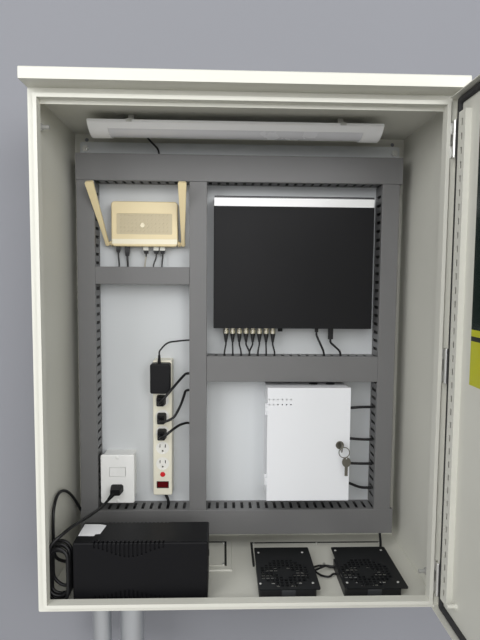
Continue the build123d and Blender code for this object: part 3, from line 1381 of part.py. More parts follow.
# Video supply box: a folded tray on the plate with grommet holes and a flange for its lock
supply_left = SUPPLY_X - SUPPLY_W / 2
supply_right = SUPPLY_X + SUPPLY_W / 2
supply_front = PLATE_Y - SUPPLY_D
lid_back = supply_front + SUPPLY_SHEET
lid_play = SUPPLY_SHEET + LID_FIT
tray_w = SUPPLY_W - lid_play
tray_h = SUPPLY_H - 2 * lid_play
tray_x = supply_left + tray_w / 2
tray_d = SUPPLY_D - lid_play
tray_right = supply_left + tray_w
tray_top = SUPPLY_Z + tray_h / 2
LID_HINGE_ZS = (-142.0, -308.0)
LID_BARREL_R = 2.5
LID_PIN_R = 1.2
LID_BARREL_L = 9.0
lid_pivot_x = supply_left - 3
lid_pivot_y = supply_front + 4
SUPPLY_LEAD_Y = -60.0
SUPPLY_HOLE_R = 5.5
SUPPLY_LEAD_ZS = ((-152.6, -152.6), (-227.0, -234.0), (-289.0, -294.0), (-336.0, -347.0))
SUPPLY_TOP_XS = (176.5, 217.5)
SUPPLY_TOP_R = 9.0
LOCK_FLANGE = 8.0
with BuildPart() as supply_box:
    with BuildSketch(front_plane(PLATE_Y, tray_x, SUPPLY_Z)):
        Rectangle(tray_w, tray_h)
    extrude(amount=tray_d)
    offset(openings=supply_box.faces().sort_by(Axis.Y)[0], amount=-SUPPLY_SHEET)
    with BuildSketch(front_plane(lid_back + LID_FIT + SUPPLY_SHEET, tray_right - LOCK_FLANGE / 2, SUPPLY_Z)):
        Rectangle(LOCK_FLANGE, tray_h)
    extrude(amount=SUPPLY_SHEET)
    with BuildSketch(Plane.YZ.offset(tray_right + 1)):
        with Locations([(SUPPLY_LEAD_Y, zs[0]) for zs in SUPPLY_LEAD_ZS]):
            Circle(SUPPLY_HOLE_R)
    extrude(amount=-SUPPLY_SHEET - 2, mode=Mode.SUBTRACT)
    with BuildSketch(Plane.XY.offset(tray_top + 1)):
        with Locations([(x, SUPPLY_LEAD_Y) for x in SUPPLY_TOP_XS]):
            Circle(SUPPLY_TOP_R)
    extrude(amount=-SUPPLY_SHEET - 2, mode=Mode.SUBTRACT)
    for hinge_z in LID_HINGE_ZS:
        for end in (-1, 1):
            barrel_z = hinge_z + end * LID_BARREL_L
            with BuildSketch(Plane.XY.offset(barrel_z - LID_BARREL_L / 2)):
                with Locations((lid_pivot_x, lid_pivot_y)):
                    Circle(LID_BARREL_R)
                with Locations((supply_left - 0.6, lid_pivot_y + 6)):
                    Rectangle(1.2, 14)
                with Locations((supply_left - 1.6, lid_pivot_y + 0.6)):
                    Rectangle(3.2, 1.8)
            extrude(amount=LID_BARREL_L)
        with BuildSketch(Plane.XY.offset(hinge_z - LID_BARREL_L / 2)):
            with Locations((lid_pivot_x, lid_pivot_y)):
                Circle(LID_PIN_R)
        extrude(amount=LID_BARREL_L)
save(supply_box.part, "supply_box")

# Lid of the supply box with a short return on three sides and its hinge barrels
with BuildPart() as supply_lid:
    with BuildSketch(front_plane(lid_back, SUPPLY_X, SUPPLY_Z)):
        Rectangle(SUPPLY_W, SUPPLY_H)
    extrude(amount=SUPPLY_SHEET)
    with BuildSketch(front_plane(lid_back, SUPPLY_X, SUPPLY_Z)):
        Rectangle(SUPPLY_W, SUPPLY_H)
        with Locations((-SUPPLY_SHEET, 0)):
            Rectangle(SUPPLY_W, SUPPLY_H - 2 * SUPPLY_SHEET, mode=Mode.SUBTRACT)
    extrude(amount=-LID_RETURN + SUPPLY_SHEET)
    with BuildSketch(front_plane(supply_front, SUPPLY_LOCK_X, SUPPLY_LOCK_Z)):
        Circle(LOCK_R + PIN_FIT)
    extrude(amount=-SUPPLY_SHEET, mode=Mode.SUBTRACT)
    for hinge_z in LID_HINGE_ZS:
        with BuildSketch(Plane.XY.offset(hinge_z - LID_BARREL_L / 2 + 0.3)):
            with Locations((lid_pivot_x, lid_pivot_y)):
                Circle(LID_BARREL_R)
            with Locations((supply_left - 2.2, lid_back - 0.1)):
                Rectangle(4.4, 2.2)
            with Locations((lid_pivot_x, lid_pivot_y)):
                Circle(LID_PIN_R + PIN_FIT, mode=Mode.SUBTRACT)
        extrude(amount=LID_BARREL_L - 0.6)
    with BuildSketch(front_plane(supply_front, SUPPLY_X)):
        with Locations((-72, SUPPLY_Z + SUPPLY_H / 2 - 33)):
            with GridLocations(10, 12, 7, 2):
                Circle(1.6)
    extrude(amount=-SUPPLY_SHEET, mode=Mode.SUBTRACT)
save(supply_lid.part, "supply_lid")

# Power unit inside the supply box: a vented metal case with a terminal row
UNIT_H = 160.0
UNIT_W = 98.0
UNIT_T = 38.0
unit_back = PLATE_Y - SUPPLY_SHEET
with BuildPart() as supply_unit:
    with BuildSketch(front_plane(unit_back, SUPPLY_X - 22, SUPPLY_Z)):
        RectangleRounded(UNIT_W, UNIT_H, 1.5)
    extrude(amount=UNIT_T)
    with BuildSketch(front_plane(unit_back - UNIT_T, SUPPLY_X - 22, SUPPLY_Z - UNIT_H / 2 + 9)):
        Rectangle(UNIT_W - 8, 18.5)
    extrude(amount=-UNIT_T + 12, mode=Mode.SUBTRACT)
    with BuildSketch(front_plane(unit_back - 12, SUPPLY_X - 22, SUPPLY_Z - UNIT_H / 2 + 8)):
        with GridLocations(10, 1, 8, 1):
            Rectangle(8, 12)
    extrude(amount=9)
    with BuildSketch(front_plane(unit_back - UNIT_T, SUPPLY_X - 22, SUPPLY_Z + 10)):
        with GridLocations(9, 14, 9, 6):
            SlotOverall(10, 3.4, rotation=90)
    extrude(amount=-1.5, mode=Mode.SUBTRACT)
save(supply_unit.part, "supply_unit")

# Cam lock of the lid with its key, a split ring and a spare key that hangs from it
lock_face = supply_front - 2
KEY_T = 2.0
key_front = lock_face - 24
SPARE_X = 242.0
SPARE_TOP_Z = -248.0
with BuildPart() as supply_lock:
    with BuildSketch(front_plane(supply_front + 6.5, SUPPLY_LOCK_X, SUPPLY_LOCK_Z)):
        Circle(LOCK_R)
    extrude(amount=6.5)
    with BuildSketch(front_plane(supply_front, SUPPLY_LOCK_X, SUPPLY_LOCK_Z)):
        Circle(LOCK_R + 1.5)
    extrude(amount=2)
    fillet(supply_lock.faces().sort_by(Axis.Y)[0].edges(), 0.8)
    with BuildSketch(front_plane(supply_front + 6.5, SUPPLY_LOCK_X, SUPPLY_LOCK_Z)):
        with Locations((0, -7)):
            RectangleRounded(11, 25, 4)
    extrude(amount=2)
    with BuildSketch(Plane.YZ.offset(SUPPLY_LOCK_X)):
        with Locations(((lock_face + key_front) / 2 + 2, SUPPLY_LOCK_Z)):
            Rectangle(key_front * -1 + lock_face + 4, 7)
        with Locations((key_front + 9, SUPPLY_LOCK_Z)):
            Ellipse(10, 12)
    extrude(amount=KEY_T / 2, both=True)
    with BuildSketch(Plane.YZ.offset(SUPPLY_LOCK_X)):
        with Locations((key_front + 4, SUPPLY_LOCK_Z)):
            Circle(2.4)
    extrude(amount=KEY_T, both=True, mode=Mode.SUBTRACT)
    ring_centre = (SUPPLY_LOCK_X + 5.5, key_front + 4, SUPPLY_LOCK_Z - 10.5)
    ring_plane = Plane(origin=ring_centre, x_dir=(0.46, 0, -0.888), z_dir=(0, 1, 0))
    with BuildSketch(Plane(origin=ring_plane.origin + ring_plane.x_dir * 12, x_dir=ring_plane.x_dir, z_dir=ring_plane.y_dir)):
        Circle(1.0)
    revolve(axis=Axis(ring_plane.origin, ring_plane.z_dir))
    with BuildSketch(front_plane(key_front + 5, SPARE_X, SPARE_TOP_Z)):
        with Locations((0, -11)):
            Ellipse(10, 11.5)
        with Locations((0, -30)):
            Rectangle(7, 26)
        with Locations((0, -2.6)):
            Circle(1.6, mode=Mode.SUBTRACT)
    extrude(amount=KEY_T)
save(supply_lock.part, "supply_lock")

# Leads that leave the supply box through grommets and go into slots of the right duct
right_duct_side = DUCT_RIGHT_X - DUCT_WIDE / 2
supply_tubes = [
    lead(
        [
            (tray_right - 6, SUPPLY_LEAD_Y, box_z),
            (tray_right + 10, SUPPLY_LEAD_Y, box_z),
            (right_duct_side - 18, SUPPLY_LEAD_Y - 4, nearest_slot("right", duct_z)),
            (right_duct_side + 9, SUPPLY_LEAD_Y - 4, nearest_slot("right", duct_z)),
        ],
        6.4,
    )
    for box_z, duct_z in SUPPLY_LEAD_ZS
]
with BuildPart() as supply_leads:
    with BuildSketch(Plane.YZ.offset(tray_right)):
        with Locations([(SUPPLY_LEAD_Y, zs[0]) for zs in SUPPLY_LEAD_ZS]):
            Circle(SUPPLY_HOLE_R + 1.5)
    extrude(amount=1.6)
    with BuildSketch(Plane.YZ.offset(tray_right)):
        with Locations([(SUPPLY_LEAD_Y, zs[0]) for zs in SUPPLY_LEAD_ZS]):
            Circle(SUPPLY_HOLE_R)
    extrude(amount=-SUPPLY_SHEET - 1)
    with BuildSketch(Plane.XY.offset(tray_top)):
        with Locations([(x, SUPPLY_LEAD_Y) for x in SUPPLY_TOP_XS]):
            Circle(SUPPLY_TOP_R + 1.5)
    extrude(amount=1.6)
    with BuildSketch(Plane.XY.offset(tray_top)):
        with Locations([(x, SUPPLY_LEAD_Y) for x in SUPPLY_TOP_XS]):
            Circle(SUPPLY_TOP_R)
    extrude(amount=-SUPPLY_SHEET - 1)
    add(supply_tubes)
save(supply_leads.part, "supply_leads")


def door_x(q):
    """Place across the opened door of what lies q in front of the body's rim when it is shut."""
    return HINGE_X + q - HINGE_STANDOFF


def door_plane(q):
    """A plane that faces the inside of the door, local x away from the hinge and local y up."""
    return Plane(origin=(door_x(q), HINGE_Y, 0), x_dir=(0, -1, 0), z_dir=(-1, 0, 0))


# Door: a folded tray, notched at its three hinges, with two lock holes and an earth stud
door_hinge_edge = -(HINGE_INSET - DOOR_HINGE_GAP)
door_lock_edge = HINGE_X + HALF_W - DOOR_SIDE_GAP
door_w = door_lock_edge - door_hinge_edge
door_mid = (door_lock_edge + door_hinge_edge) / 2
lock_u = door_lock_edge - LOCK_INSET
hinge_zs = tuple(z - HINGE_DROP for z in (HINGE_Z, 0.0, -HINGE_Z))
hinge_len = 2 * HINGE_END_L + HINGE_MID_L
DOOR_STUD_U = 71.0
DOOR_STUD_Z = -444.0
with BuildPart() as door_panel:
    with BuildSketch(door_plane(DOOR_FACE)):
        with Locations((door_mid, 0)):
            RectangleRounded(door_w, DOOR_H, DOOR_BEND)
    extrude(amount=DOOR_FACE - DOOR_REACH)
    fillet(door_panel.faces().sort_by(Axis.X)[-1].edges(), DOOR_BEND - 0.5)
    with BuildSketch(door_plane(DOOR_FACE - SHEET)):
        with Locations((door_mid, 0)):
            Rectangle(door_w - 2 * SHEET, DOOR_H - 2 * SHEET)
    extrude(amount=DOOR_FACE, mode=Mode.SUBTRACT)
    with BuildSketch(door_plane(DOOR_HINGE_REACH)):
        with Locations((door_hinge_edge / 2 - 1, 0)):
            Rectangle(-door_hinge_edge + 2, DOOR_H + 2)
    extrude(amount=DOOR_HINGE_REACH, mode=Mode.SUBTRACT)
    with BuildSketch(door_plane(DOOR_FACE - SHEET)):
        with Locations([(door_hinge_edge, z) for z in hinge_zs]):
            Rectangle(4 * SHEET, hinge_len + 4)
    extrude(amount=DOOR_FACE, mode=Mode.SUBTRACT)
    with BuildSketch(door_plane(DOOR_FACE)):
        with Locations((lock_u, LOCK_Z), (lock_u, -LOCK_Z)):
            Circle(LOCK_BARREL_R + PIN_FIT)
    extrude(amount=SHEET, mode=Mode.SUBTRACT)
    with BuildSketch(door_plane(DOOR_FACE - SHEET)):
        with Locations((DOOR_STUD_U, DOOR_STUD_Z)):
            Circle(EARTH_STUD_R)
    extrude(amount=18)
    with BuildSketch(door_plane(DOOR_FACE - SHEET)):
        with Locations((DOOR_STUD_U, DOOR_STUD_Z)):
            RegularPolygon(5.5, 6, major_radius=False)
    extrude(amount=5)
save(door_panel.part, "door_panel")

# Gasket: a foamed bead round the inside of the door, just short of the lip when shut
gasket_left = HINGE_X - (lip_left + LIP_W / 2)
gasket_right = HINGE_X - (lip_right - LIP_W / 2)
gasket_mid = (gasket_left + gasket_right) / 2
gasket_w = gasket_left - gasket_right
gasket_h = 2 * (lip_half_h - LIP_W / 2)
with BuildPart() as door_gasket:
    with BuildSketch(door_plane(DOOR_FACE - SHEET)):
        with Locations((gasket_mid, 0)):
            RectangleRounded(gasket_w + GASKET_W, gasket_h + GASKET_W, 8)
            RectangleRounded(gasket_w - GASKET_W, gasket_h - GASKET_W, 3, mode=Mode.SUBTRACT)
    extrude(amount=DOOR_FACE - SHEET - LIP_RISE - GASKET_GAP)
    chamfer(door_gasket.faces().sort_by(Axis.X)[0].edges(), 2.5)
save(door_gasket.part, "door_gasket")

# Two perforated stiffening rails inside the door, each a shallow channel
rail_len = gasket_h - GASKET_W - 2 * RAIL_END
rail_us = (RAIL_INSET + RAIL_W / 2, lock_u - RAIL_W / 2 - 19)
rail_holes = int((rail_len - 20) // RAIL_PITCH) + 1
with BuildPart() as door_rails:
    with BuildSketch(door_plane(DOOR_FACE - SHEET)):
        with Locations([(u, 0) for u in rail_us]):
            Rectangle(RAIL_W, rail_len)
    extrude(amount=RAIL_H)
    with BuildSketch(door_plane(DOOR_FACE - SHEET)):
        with Locations([(u, 0) for u in rail_us]):
            Rectangle(RAIL_W - 2 * SHEET, rail_len)
    extrude(amount=RAIL_H - SHEET, mode=Mode.SUBTRACT)
    with BuildSketch(door_plane(DOOR_FACE - SHEET)):
        with Locations([(u, 0) for u in rail_us]):
            with GridLocations(1, RAIL_PITCH, 1, rail_holes):
                Rectangle(RAIL_HOLE_W, RAIL_HOLE_L)
    extrude(amount=RAIL_H, mode=Mode.SUBTRACT)
save(door_rails.part, "door_rails")

# Hinges: a leaf with two barrels on the body, a foot with one barrel on the door, and a pin
with BuildPart() as hinge_body_leaves:
    for hinge_z in hinge_zs:
        with BuildSketch(Plane.XY.offset(hinge_z - hinge_len / 2)):
            with Locations((HINGE_X + 0.5, -BODY_D - HINGE_LEAF_T / 2)):
                Rectangle(13, HINGE_LEAF_T)
        extrude(amount=hinge_len)
        for end in (-1, 1):
            barrel_z = hinge_z + end * (HINGE_MID_L + HINGE_END_L) / 2
            with BuildSketch(Plane.XY.offset(barrel_z - HINGE_END_L / 2)):
                with Locations((HINGE_X, HINGE_Y)):
                    Circle(KNUCKLE_BARREL_R)
                with Locations((HINGE_X, (HINGE_Y - BODY_D) / 2)):
                    Rectangle(2 * HINGE_LEAF_T, HINGE_STANDOFF)
                with Locations((HINGE_X, HINGE_Y)):
                    Circle(HINGE_PIN_R + HINGE_FIT, mode=Mode.SUBTRACT)
            extrude(amount=HINGE_END_L)
save(hinge_body_leaves.part, "hinge_body_leaves")

foot_reach = DOOR_FACE - SHEET - HINGE_STANDOFF
with BuildPart() as hinge_door_leaves:
    for hinge_z in hinge_zs:
        with BuildSketch(Plane.XY.offset(hinge_z - HINGE_MID_L / 2 + HINGE_GAP)):
            with Locations((HINGE_X, HINGE_Y)):
                Circle(KNUCKLE_BARREL_R)
            with Locations((HINGE_X + foot_reach / 2, HINGE_Y)):
                Rectangle(foot_reach, 2 * HINGE_LEAF_T)
            with Locations((HINGE_X + foot_reach - HINGE_LEAF_T / 2, HINGE_Y + 1)):
                Rectangle(HINGE_LEAF_T, 12)
            with Locations((HINGE_X, HINGE_Y)):
                Circle(HINGE_PIN_R + HINGE_FIT, mode=Mode.SUBTRACT)
        extrude(amount=HINGE_MID_L - 2 * HINGE_GAP)
save(hinge_door_leaves.part, "hinge_door_leaves")

with BuildPart() as hinge_pins:
    for hinge_z in hinge_zs:
        with BuildSketch(Plane.XY.offset(hinge_z - hinge_len / 2)):
            with Locations((HINGE_X, HINGE_Y)):
                Circle(HINGE_PIN_R)
        extrude(amount=hinge_len)
        with BuildSketch(Plane.XY.offset(hinge_z + hinge_len / 2)):
            with Locations((HINGE_X, HINGE_Y)):
                Circle(HINGE_PIN_R + 1)
        extrude(amount=2)
        with BuildSketch(Plane.XY.offset(hinge_z - hinge_len / 2)):
            with Locations((HINGE_X, HINGE_Y)):
                Circle(HINGE_PIN_R + 1)
        extrude(amount=-2)
save(hinge_pins.part, "hinge_pins")

# Two cam locks of the door; shown turned open, the cam hangs down
LOCK_HEAD_T = 4.0
CAM_Q = -10.2
for side, lock_z in (("upper", LOCK_Z), ("lower", -LOCK_Z)):
    with BuildPart() as door_lock:
        with BuildSketch(door_plane(DOOR_FACE + LOCK_HEAD_T)):
            with Locations((lock_u, lock_z)):
                Circle(LOCK_HEAD_R)
        extrude(amount=LOCK_HEAD_T)
        fillet(door_lock.faces().sort_by(Axis.X)[-1].edges(), 1.5)
        with BuildSketch(door_plane(DOOR_FACE)):
            with Locations((lock_u, lock_z)):
                Circle(LOCK_BARREL_R)
        extrude(amount=DOOR_FACE - CAM_Q)
        with BuildSketch(door_plane(DOOR_FACE + LOCK_HEAD_T)):
            with Locations((lock_u, lock_z)):
                RegularPolygon(4.5, 3)
        extrude(amount=9, mode=Mode.SUBTRACT)
        with BuildSketch(door_plane(CAM_Q + CAM_T / 2)):
            with Locations((lock_u, lock_z - CAM_LEN / 2 + CAM_W / 4)):
                RectangleRounded(CAM_W, CAM_LEN + CAM_W / 2, 5)
        extrude(amount=CAM_T)
        with BuildSketch(door_plane(CAM_Q - CAM_T / 2)):
            with Locations((lock_u, lock_z)):
                RegularPolygon(6.5, 6, major_radius=False)
        extrude(amount=4)
    save(door_lock.part, f"door_lock_{side}")
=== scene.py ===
import math

import bpy
import numpy as np
from mathutils import Matrix, Vector


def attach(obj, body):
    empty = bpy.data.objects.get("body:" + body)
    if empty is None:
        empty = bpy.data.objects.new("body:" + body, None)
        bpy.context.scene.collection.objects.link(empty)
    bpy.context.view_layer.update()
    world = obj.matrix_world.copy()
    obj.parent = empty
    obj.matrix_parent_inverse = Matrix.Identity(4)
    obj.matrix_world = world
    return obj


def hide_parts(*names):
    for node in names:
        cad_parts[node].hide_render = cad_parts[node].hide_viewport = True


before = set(bpy.data.objects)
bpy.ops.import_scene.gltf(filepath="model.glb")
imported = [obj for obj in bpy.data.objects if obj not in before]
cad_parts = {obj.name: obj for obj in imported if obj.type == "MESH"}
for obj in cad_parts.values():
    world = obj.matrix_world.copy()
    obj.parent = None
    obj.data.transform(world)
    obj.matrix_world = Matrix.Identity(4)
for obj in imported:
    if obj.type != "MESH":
        bpy.data.objects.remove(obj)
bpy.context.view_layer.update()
node = {name: bpy.data.objects[name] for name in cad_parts}

# Steel cabinet, rain roof and gland plates: sheet that is folded, welded and then coated in one
# warm light grey with a fine orange-peel surface. Painted shade darkens the gaps round each gland plate.


def start_finish(name):
    """A material with its tree, its shader and the socket of its Object coordinates."""
    finish = bpy.data.materials.new(name)
    finish.use_nodes = True
    tree = finish.node_tree
    place = tree.nodes.new("ShaderNodeTexCoord")
    return finish, tree, tree.nodes["Principled BSDF"], place.outputs["Object"]


def noise(tree, place, scale, detail=2.0):
    """A noise pattern at the coordinates that place gives."""
    pattern = tree.nodes.new("ShaderNodeTexNoise")
    pattern.inputs["Scale"].default_value = scale
    pattern.inputs["Detail"].default_value = detail
    tree.links.new(place, pattern.inputs["Vector"])
    return pattern.outputs["Fac"]


def vary(tree, slow, fine, colour, tones, gloss, strength, depth):
    """Drives tone and gloss by the slow pattern, each between two values, and relief by the fine."""
    shader = tree.nodes["Principled BSDF"]
    tone = tree.nodes.new("ShaderNodeMixRGB")
    for socket, share in zip(("Color1", "Color2"), tones):
        tone.inputs[socket].default_value = (*[min(1, c * share) for c in colour], 1)
    sheen = tree.nodes.new("ShaderNodeMapRange")
    sheen.inputs["To Min"].default_value, sheen.inputs["To Max"].default_value = gloss
    relief = tree.nodes.new("ShaderNodeBump")
    relief.inputs["Strength"].default_value = strength
    relief.inputs["Distance"].default_value = depth
    tree.links.new(slow, tone.inputs["Fac"])
    tree.links.new(tone.outputs["Color"], shader.inputs["Base Color"])
    tree.links.new(slow, sheen.inputs["Value"])
    tree.links.new(sheen.outputs["Result"], shader.inputs["Roughness"])
    tree.links.new(fine, relief.inputs["Height"])
    tree.links.new(relief.outputs["Normal"], shader.inputs["Normal"])


def powder_coat(name, colour, rough=0.48, peel=0.00025, dust=0.06):
    """A coat whose tone drifts slowly, with peel of about a millimetre and a little settled dust."""
    coat, tree, _, place = start_finish(name)
    drift = noise(tree, place, 5.0, 5.0)
    grain = noise(tree, place, 900.0)
    vary(tree, drift, grain, colour, (1 - dust, 1 + dust / 3), (rough - 0.07, rough + 0.1), 0.35, peel)
    return coat


def dress(finish, *names):
    """Gives these CAD nodes one finish in every material slot."""
    for name in names:
        mesh = node[name].data
        if not mesh.materials:
            mesh.materials.append(finish)
        for i in range(len(mesh.materials)):
            mesh.materials[i] = finish


def lay_over(tree, inside, colour, rough):
    """Mixes colour over what reaches the shader, and its gloss too where rough is given."""
    shader = tree.nodes["Principled BSDF"]
    over = tree.nodes.new("ShaderNodeMixRGB")
    over.inputs["Color2"].default_value = (*colour, 1)
    tree.links.new(inside, over.inputs["Fac"])
    tree.links.new(shader.inputs["Base Color"].links[0].from_socket, over.inputs["Color1"])
    tree.links.new(over.outputs["Color"], shader.inputs["Base Color"])
    if rough is not None:
        gloss = tree.nodes.new("ShaderNodeMix")
        gloss.inputs["B"].default_value = rough
        tree.links.new(inside, gloss.inputs["Factor"])
        tree.links.new(shader.inputs["Roughness"].links[0].from_socket, gloss.inputs["A"])
        tree.links.new(gloss.outputs["Result"], shader.inputs["Roughness"])


def field(finish, colour, low, high, rough=None):
    """Paints the box from low to high, in metres on Object coordinates: the product of up to six
    steps. None leaves that side open."""
    tree = finish.node_tree
    place = tree.nodes.new("ShaderNodeTexCoord")
    parts = tree.nodes.new("ShaderNodeSeparateXYZ")
    tree.links.new(place.outputs["Object"], parts.inputs["Vector"])
    inside = None
    for axis, bounds in zip("XYZ", zip(low, high)):
        for limit, step in zip(bounds, ("GREATER_THAN", "LESS_THAN")):
            if limit is None:
                continue
            test = tree.nodes.new("ShaderNodeMath")
            test.operation = step
            test.inputs[1].default_value = limit
            tree.links.new(parts.outputs[axis], test.inputs[0])
            if inside is None:
                inside = test.outputs[0]
                continue
            both = tree.nodes.new("ShaderNodeMath")
            both.operation = "MULTIPLY"
            tree.links.new(inside, both.inputs[0])
            tree.links.new(test.outputs[0], both.inputs[1])
            inside = both.outputs[0]
    lay_over(tree, inside, colour, rough)


OPEN = (None, None, None)
COAT = (0.66, 0.655, 0.59)
# Painted shade: near-black for the gaps round the gland plates.
SEAM_SHADE = (0.02, 0.02, 0.02)
STUD_STEEL = (0.42, 0.42, 0.40)
SEAMS = (
    ((-0.3555, -0.0468, -0.5), (-0.0325, -0.0380, -0.490)),
    ((0.0325, -0.0468, -0.5), (0.3555, -0.0380, -0.490)),
    ((-0.0335, -0.150, -0.5), (-0.0295, -0.0380, -0.490)),
    ((0.0295, -0.150, -0.5), (0.0335, -0.0380, -0.490)),
)
EARTH_STUDS = (
    ((-0.3965, -0.260, 0.43), (-0.370, -0.230, 0.46)),
    ((0.370, -0.250, -0.48), (0.3965, -0.222, -0.445)),
)
PLATE_REAR_EDGE = -0.0482
PLATE_INNER_EDGE = 0.0348
cabinet_grey = powder_coat("cabinet_grey", COAT)
body_grey = powder_coat("body_grey", COAT)
# The seams round the gland plates are painted near-black as shade in their gaps.
for low, high in SEAMS:
    field(body_grey, SEAM_SHADE, low, high, 0.7)
for low, high in EARTH_STUDS:
    field(body_grey, STUD_STEEL, low, high, 0.3)
gland_grey = powder_coat("gland_grey", COAT)
# The plates' rear and inner edges are painted near-black as shade in the gaps.
field(gland_grey, SEAM_SHADE, (None, PLATE_REAR_EDGE, None), OPEN, 0.7)
field(gland_grey, SEAM_SHADE, (-PLATE_INNER_EDGE, None, None), (PLATE_INNER_EDGE, None, None), 0.7)
dress(body_grey, "cabinet_body")
dress(cabinet_grey, "rain_roof")
dress(gland_grey, "gland_plates")

# Door: the same coat, with two perforated rails in it. Its inside carries a plain dark panel above
# a plain yellow one, with one black line across the yellow.
DOOR_INSIDE = (0.391, 0.3932)
SIGN_EDGE_Y = -0.3968
SIGN = (
    (0.0706, 0.449, (0.006, 0.016, 0.013), 0.25),
    (-0.027, 0.0706, (0.50, 0.50, 0.01), 0.35),
    (0.0506, 0.0589, (0.010, 0.010, 0.010), 0.35),
)
door_grey = powder_coat("door_grey", COAT)
for low_z, high_z, colour, rough in SIGN:
    field(door_grey, colour, (DOOR_INSIDE[0], None, low_z), (DOOR_INSIDE[1], SIGN_EDGE_Y, high_z), rough)
dress(door_grey, "door_panel")
dress(cabinet_grey, "door_rails")

# Mounting plate: a smooth, slightly blue pale grey sheet on studs, with a thinner coat than the
# body. Its nuts, the screws of the gland plates and the clips of the lamp are zinc plated.


def plated(name, colour, rough=0.34, streak=60.0):
    """Plated steel: metal with faint cloudy patches and fine scratches along one direction."""
    metal, tree, shader, place = start_finish(name)
    shader.inputs["Metallic"].default_value = 0.95
    stretch = tree.nodes.new("ShaderNodeMapping")
    stretch.inputs["Scale"].default_value = (1.0, 1.0, 0.12)
    tree.links.new(place, stretch.inputs["Vector"])
    cloud = noise(tree, stretch.outputs["Vector"], streak, 6.0)
    vary(tree, cloud, cloud, colour, (0.82, 1.06), (rough - 0.08, rough + 0.14), 0.2, 0.0001)
    return metal


plate_grey = powder_coat("plate_grey", (0.62, 0.64, 0.65), rough=0.38, peel=0.0001, dust=0.05)
zinc = plated("zinc", (0.74, 0.74, 0.72))
dress(plate_grey, "mounting_plate")
dress(zinc, "plate_fixings", "gland_screws", "lamp_clips")

# Hinges: bright zinc leaves and pins, three on the right rim. The outer edge of each door leaf is
# painted nearly black: painted shade from the door's fold.
BRIGHT = (0.84, 0.84, 0.82)
LEAF_EDGE_X = 0.3975
bright_zinc = plated("bright_zinc", BRIGHT, rough=0.28, streak=90.0)
shaded_foot_zinc = plated("shaded_foot_zinc", BRIGHT, rough=0.28, streak=90.0)
# Painted shade: the door leaf's outer edge is near-black.
field(shaded_foot_zinc, (0.03, 0.03, 0.03), (LEAF_EDGE_X, None, None), OPEN, 0.6)
dress(bright_zinc, "hinge_pins", "hinge_body_leaves")
dress(shaded_foot_zinc, "hinge_door_leaves")

# Conduits and hubs: galvanised tube with a dull spangle, in die-cast hubs that are rougher and
# darker. Both stand under the left gland plate.
galvanised = plated("galvanised", (0.60, 0.62, 0.64), rough=0.45, streak=25.0)
die_cast = plated("die_cast", (0.50, 0.51, 0.52), rough=0.55, streak=300.0)
dress(galvanised, "conduits")
dress(die_cast, "conduit_hubs")

# Wiring ducts: rigid plastic channels with fingers and snap-on covers, in a mid grey with a
# satin skin and a very fine grain.


def moulding(name, colour, rough=0.45, grain=1400.0, depth=0.00008, coat=0.0, drift=0.05):
    """Moulded plastic: even colour with a slow drift, fine texture and a slightly uneven gloss."""
    plastic, tree, shader, place = start_finish(name)
    shader.inputs["Coat Weight"].default_value = coat
    shader.inputs["Coat Roughness"].default_value = 0.2
    slow = noise(tree, place, 14.0, 4.0)
    fine = noise(tree, place, grain)
    gloss = (max(0.03, rough - 0.06), rough + 0.08)
    vary(tree, slow, fine, colour, (1 - drift, 1 + drift), gloss, 0.4, depth)
    return plastic


duct_grey = moulding("duct_grey", (0.148, 0.147, 0.147), rough=0.42)
dress(duct_grey, "duct_bases_wide", "duct_covers_wide", "duct_bases_slim", "duct_covers_slim")

# Wires inside the ducts: bundles of black singles that fill the troughs and show through the
# slots; they also stand in for the shade inside the ducts, so that the slots look dark. Leads outside
# the ducts have the same black sheath.


def dull(finish, level):
    """Lowers a finish's mirror share, which black plastic and rough black coats have little of."""
    finish.node_tree.nodes["Principled BSDF"].inputs["Specular IOR Level"].default_value = level


def skin(name, grids, finish, smooth=True):
    """One mesh on the cabinet from grids of points, shape (rows, columns, 3) in millimetres. Each
    cell of a grid is a face, columns join round, and a fan to their mean closes the first and the
    last row."""
    points, faces = [], []
    base = 0
    for grid in grids:
        rows, columns, _ = grid.shape
        left = base + np.arange(rows * columns).reshape(rows, columns)
        right = np.roll(left, -1, axis=1)
        first = base + rows * columns
        last = first + 1
        faces += np.stack([left[:-1], right[:-1], right[1:], left[1:]], axis=-1).reshape(-1, 4).tolist()
        faces += np.stack([right[0], left[0], np.full(columns, first)], axis=-1).tolist()
        faces += np.stack([left[-1], right[-1], np.full(columns, last)], axis=-1).tolist()
        points += [grid.reshape(-1, 3), [grid[0].mean(axis=0), grid[-1].mean(axis=0)]]
        base = last + 1
    mesh = bpy.data.meshes.new(name)
    mesh.from_pydata((np.concatenate(points) / 1000).tolist(), [], faces)
    mesh.materials.append(finish)
    mesh.polygons.foreach_set("use_smooth", np.full(len(mesh.polygons), smooth))
    piece = bpy.data.objects.new(name, mesh)
    bpy.context.scene.collection.objects.link(piece)
    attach(piece, "cabinet")
    return piece


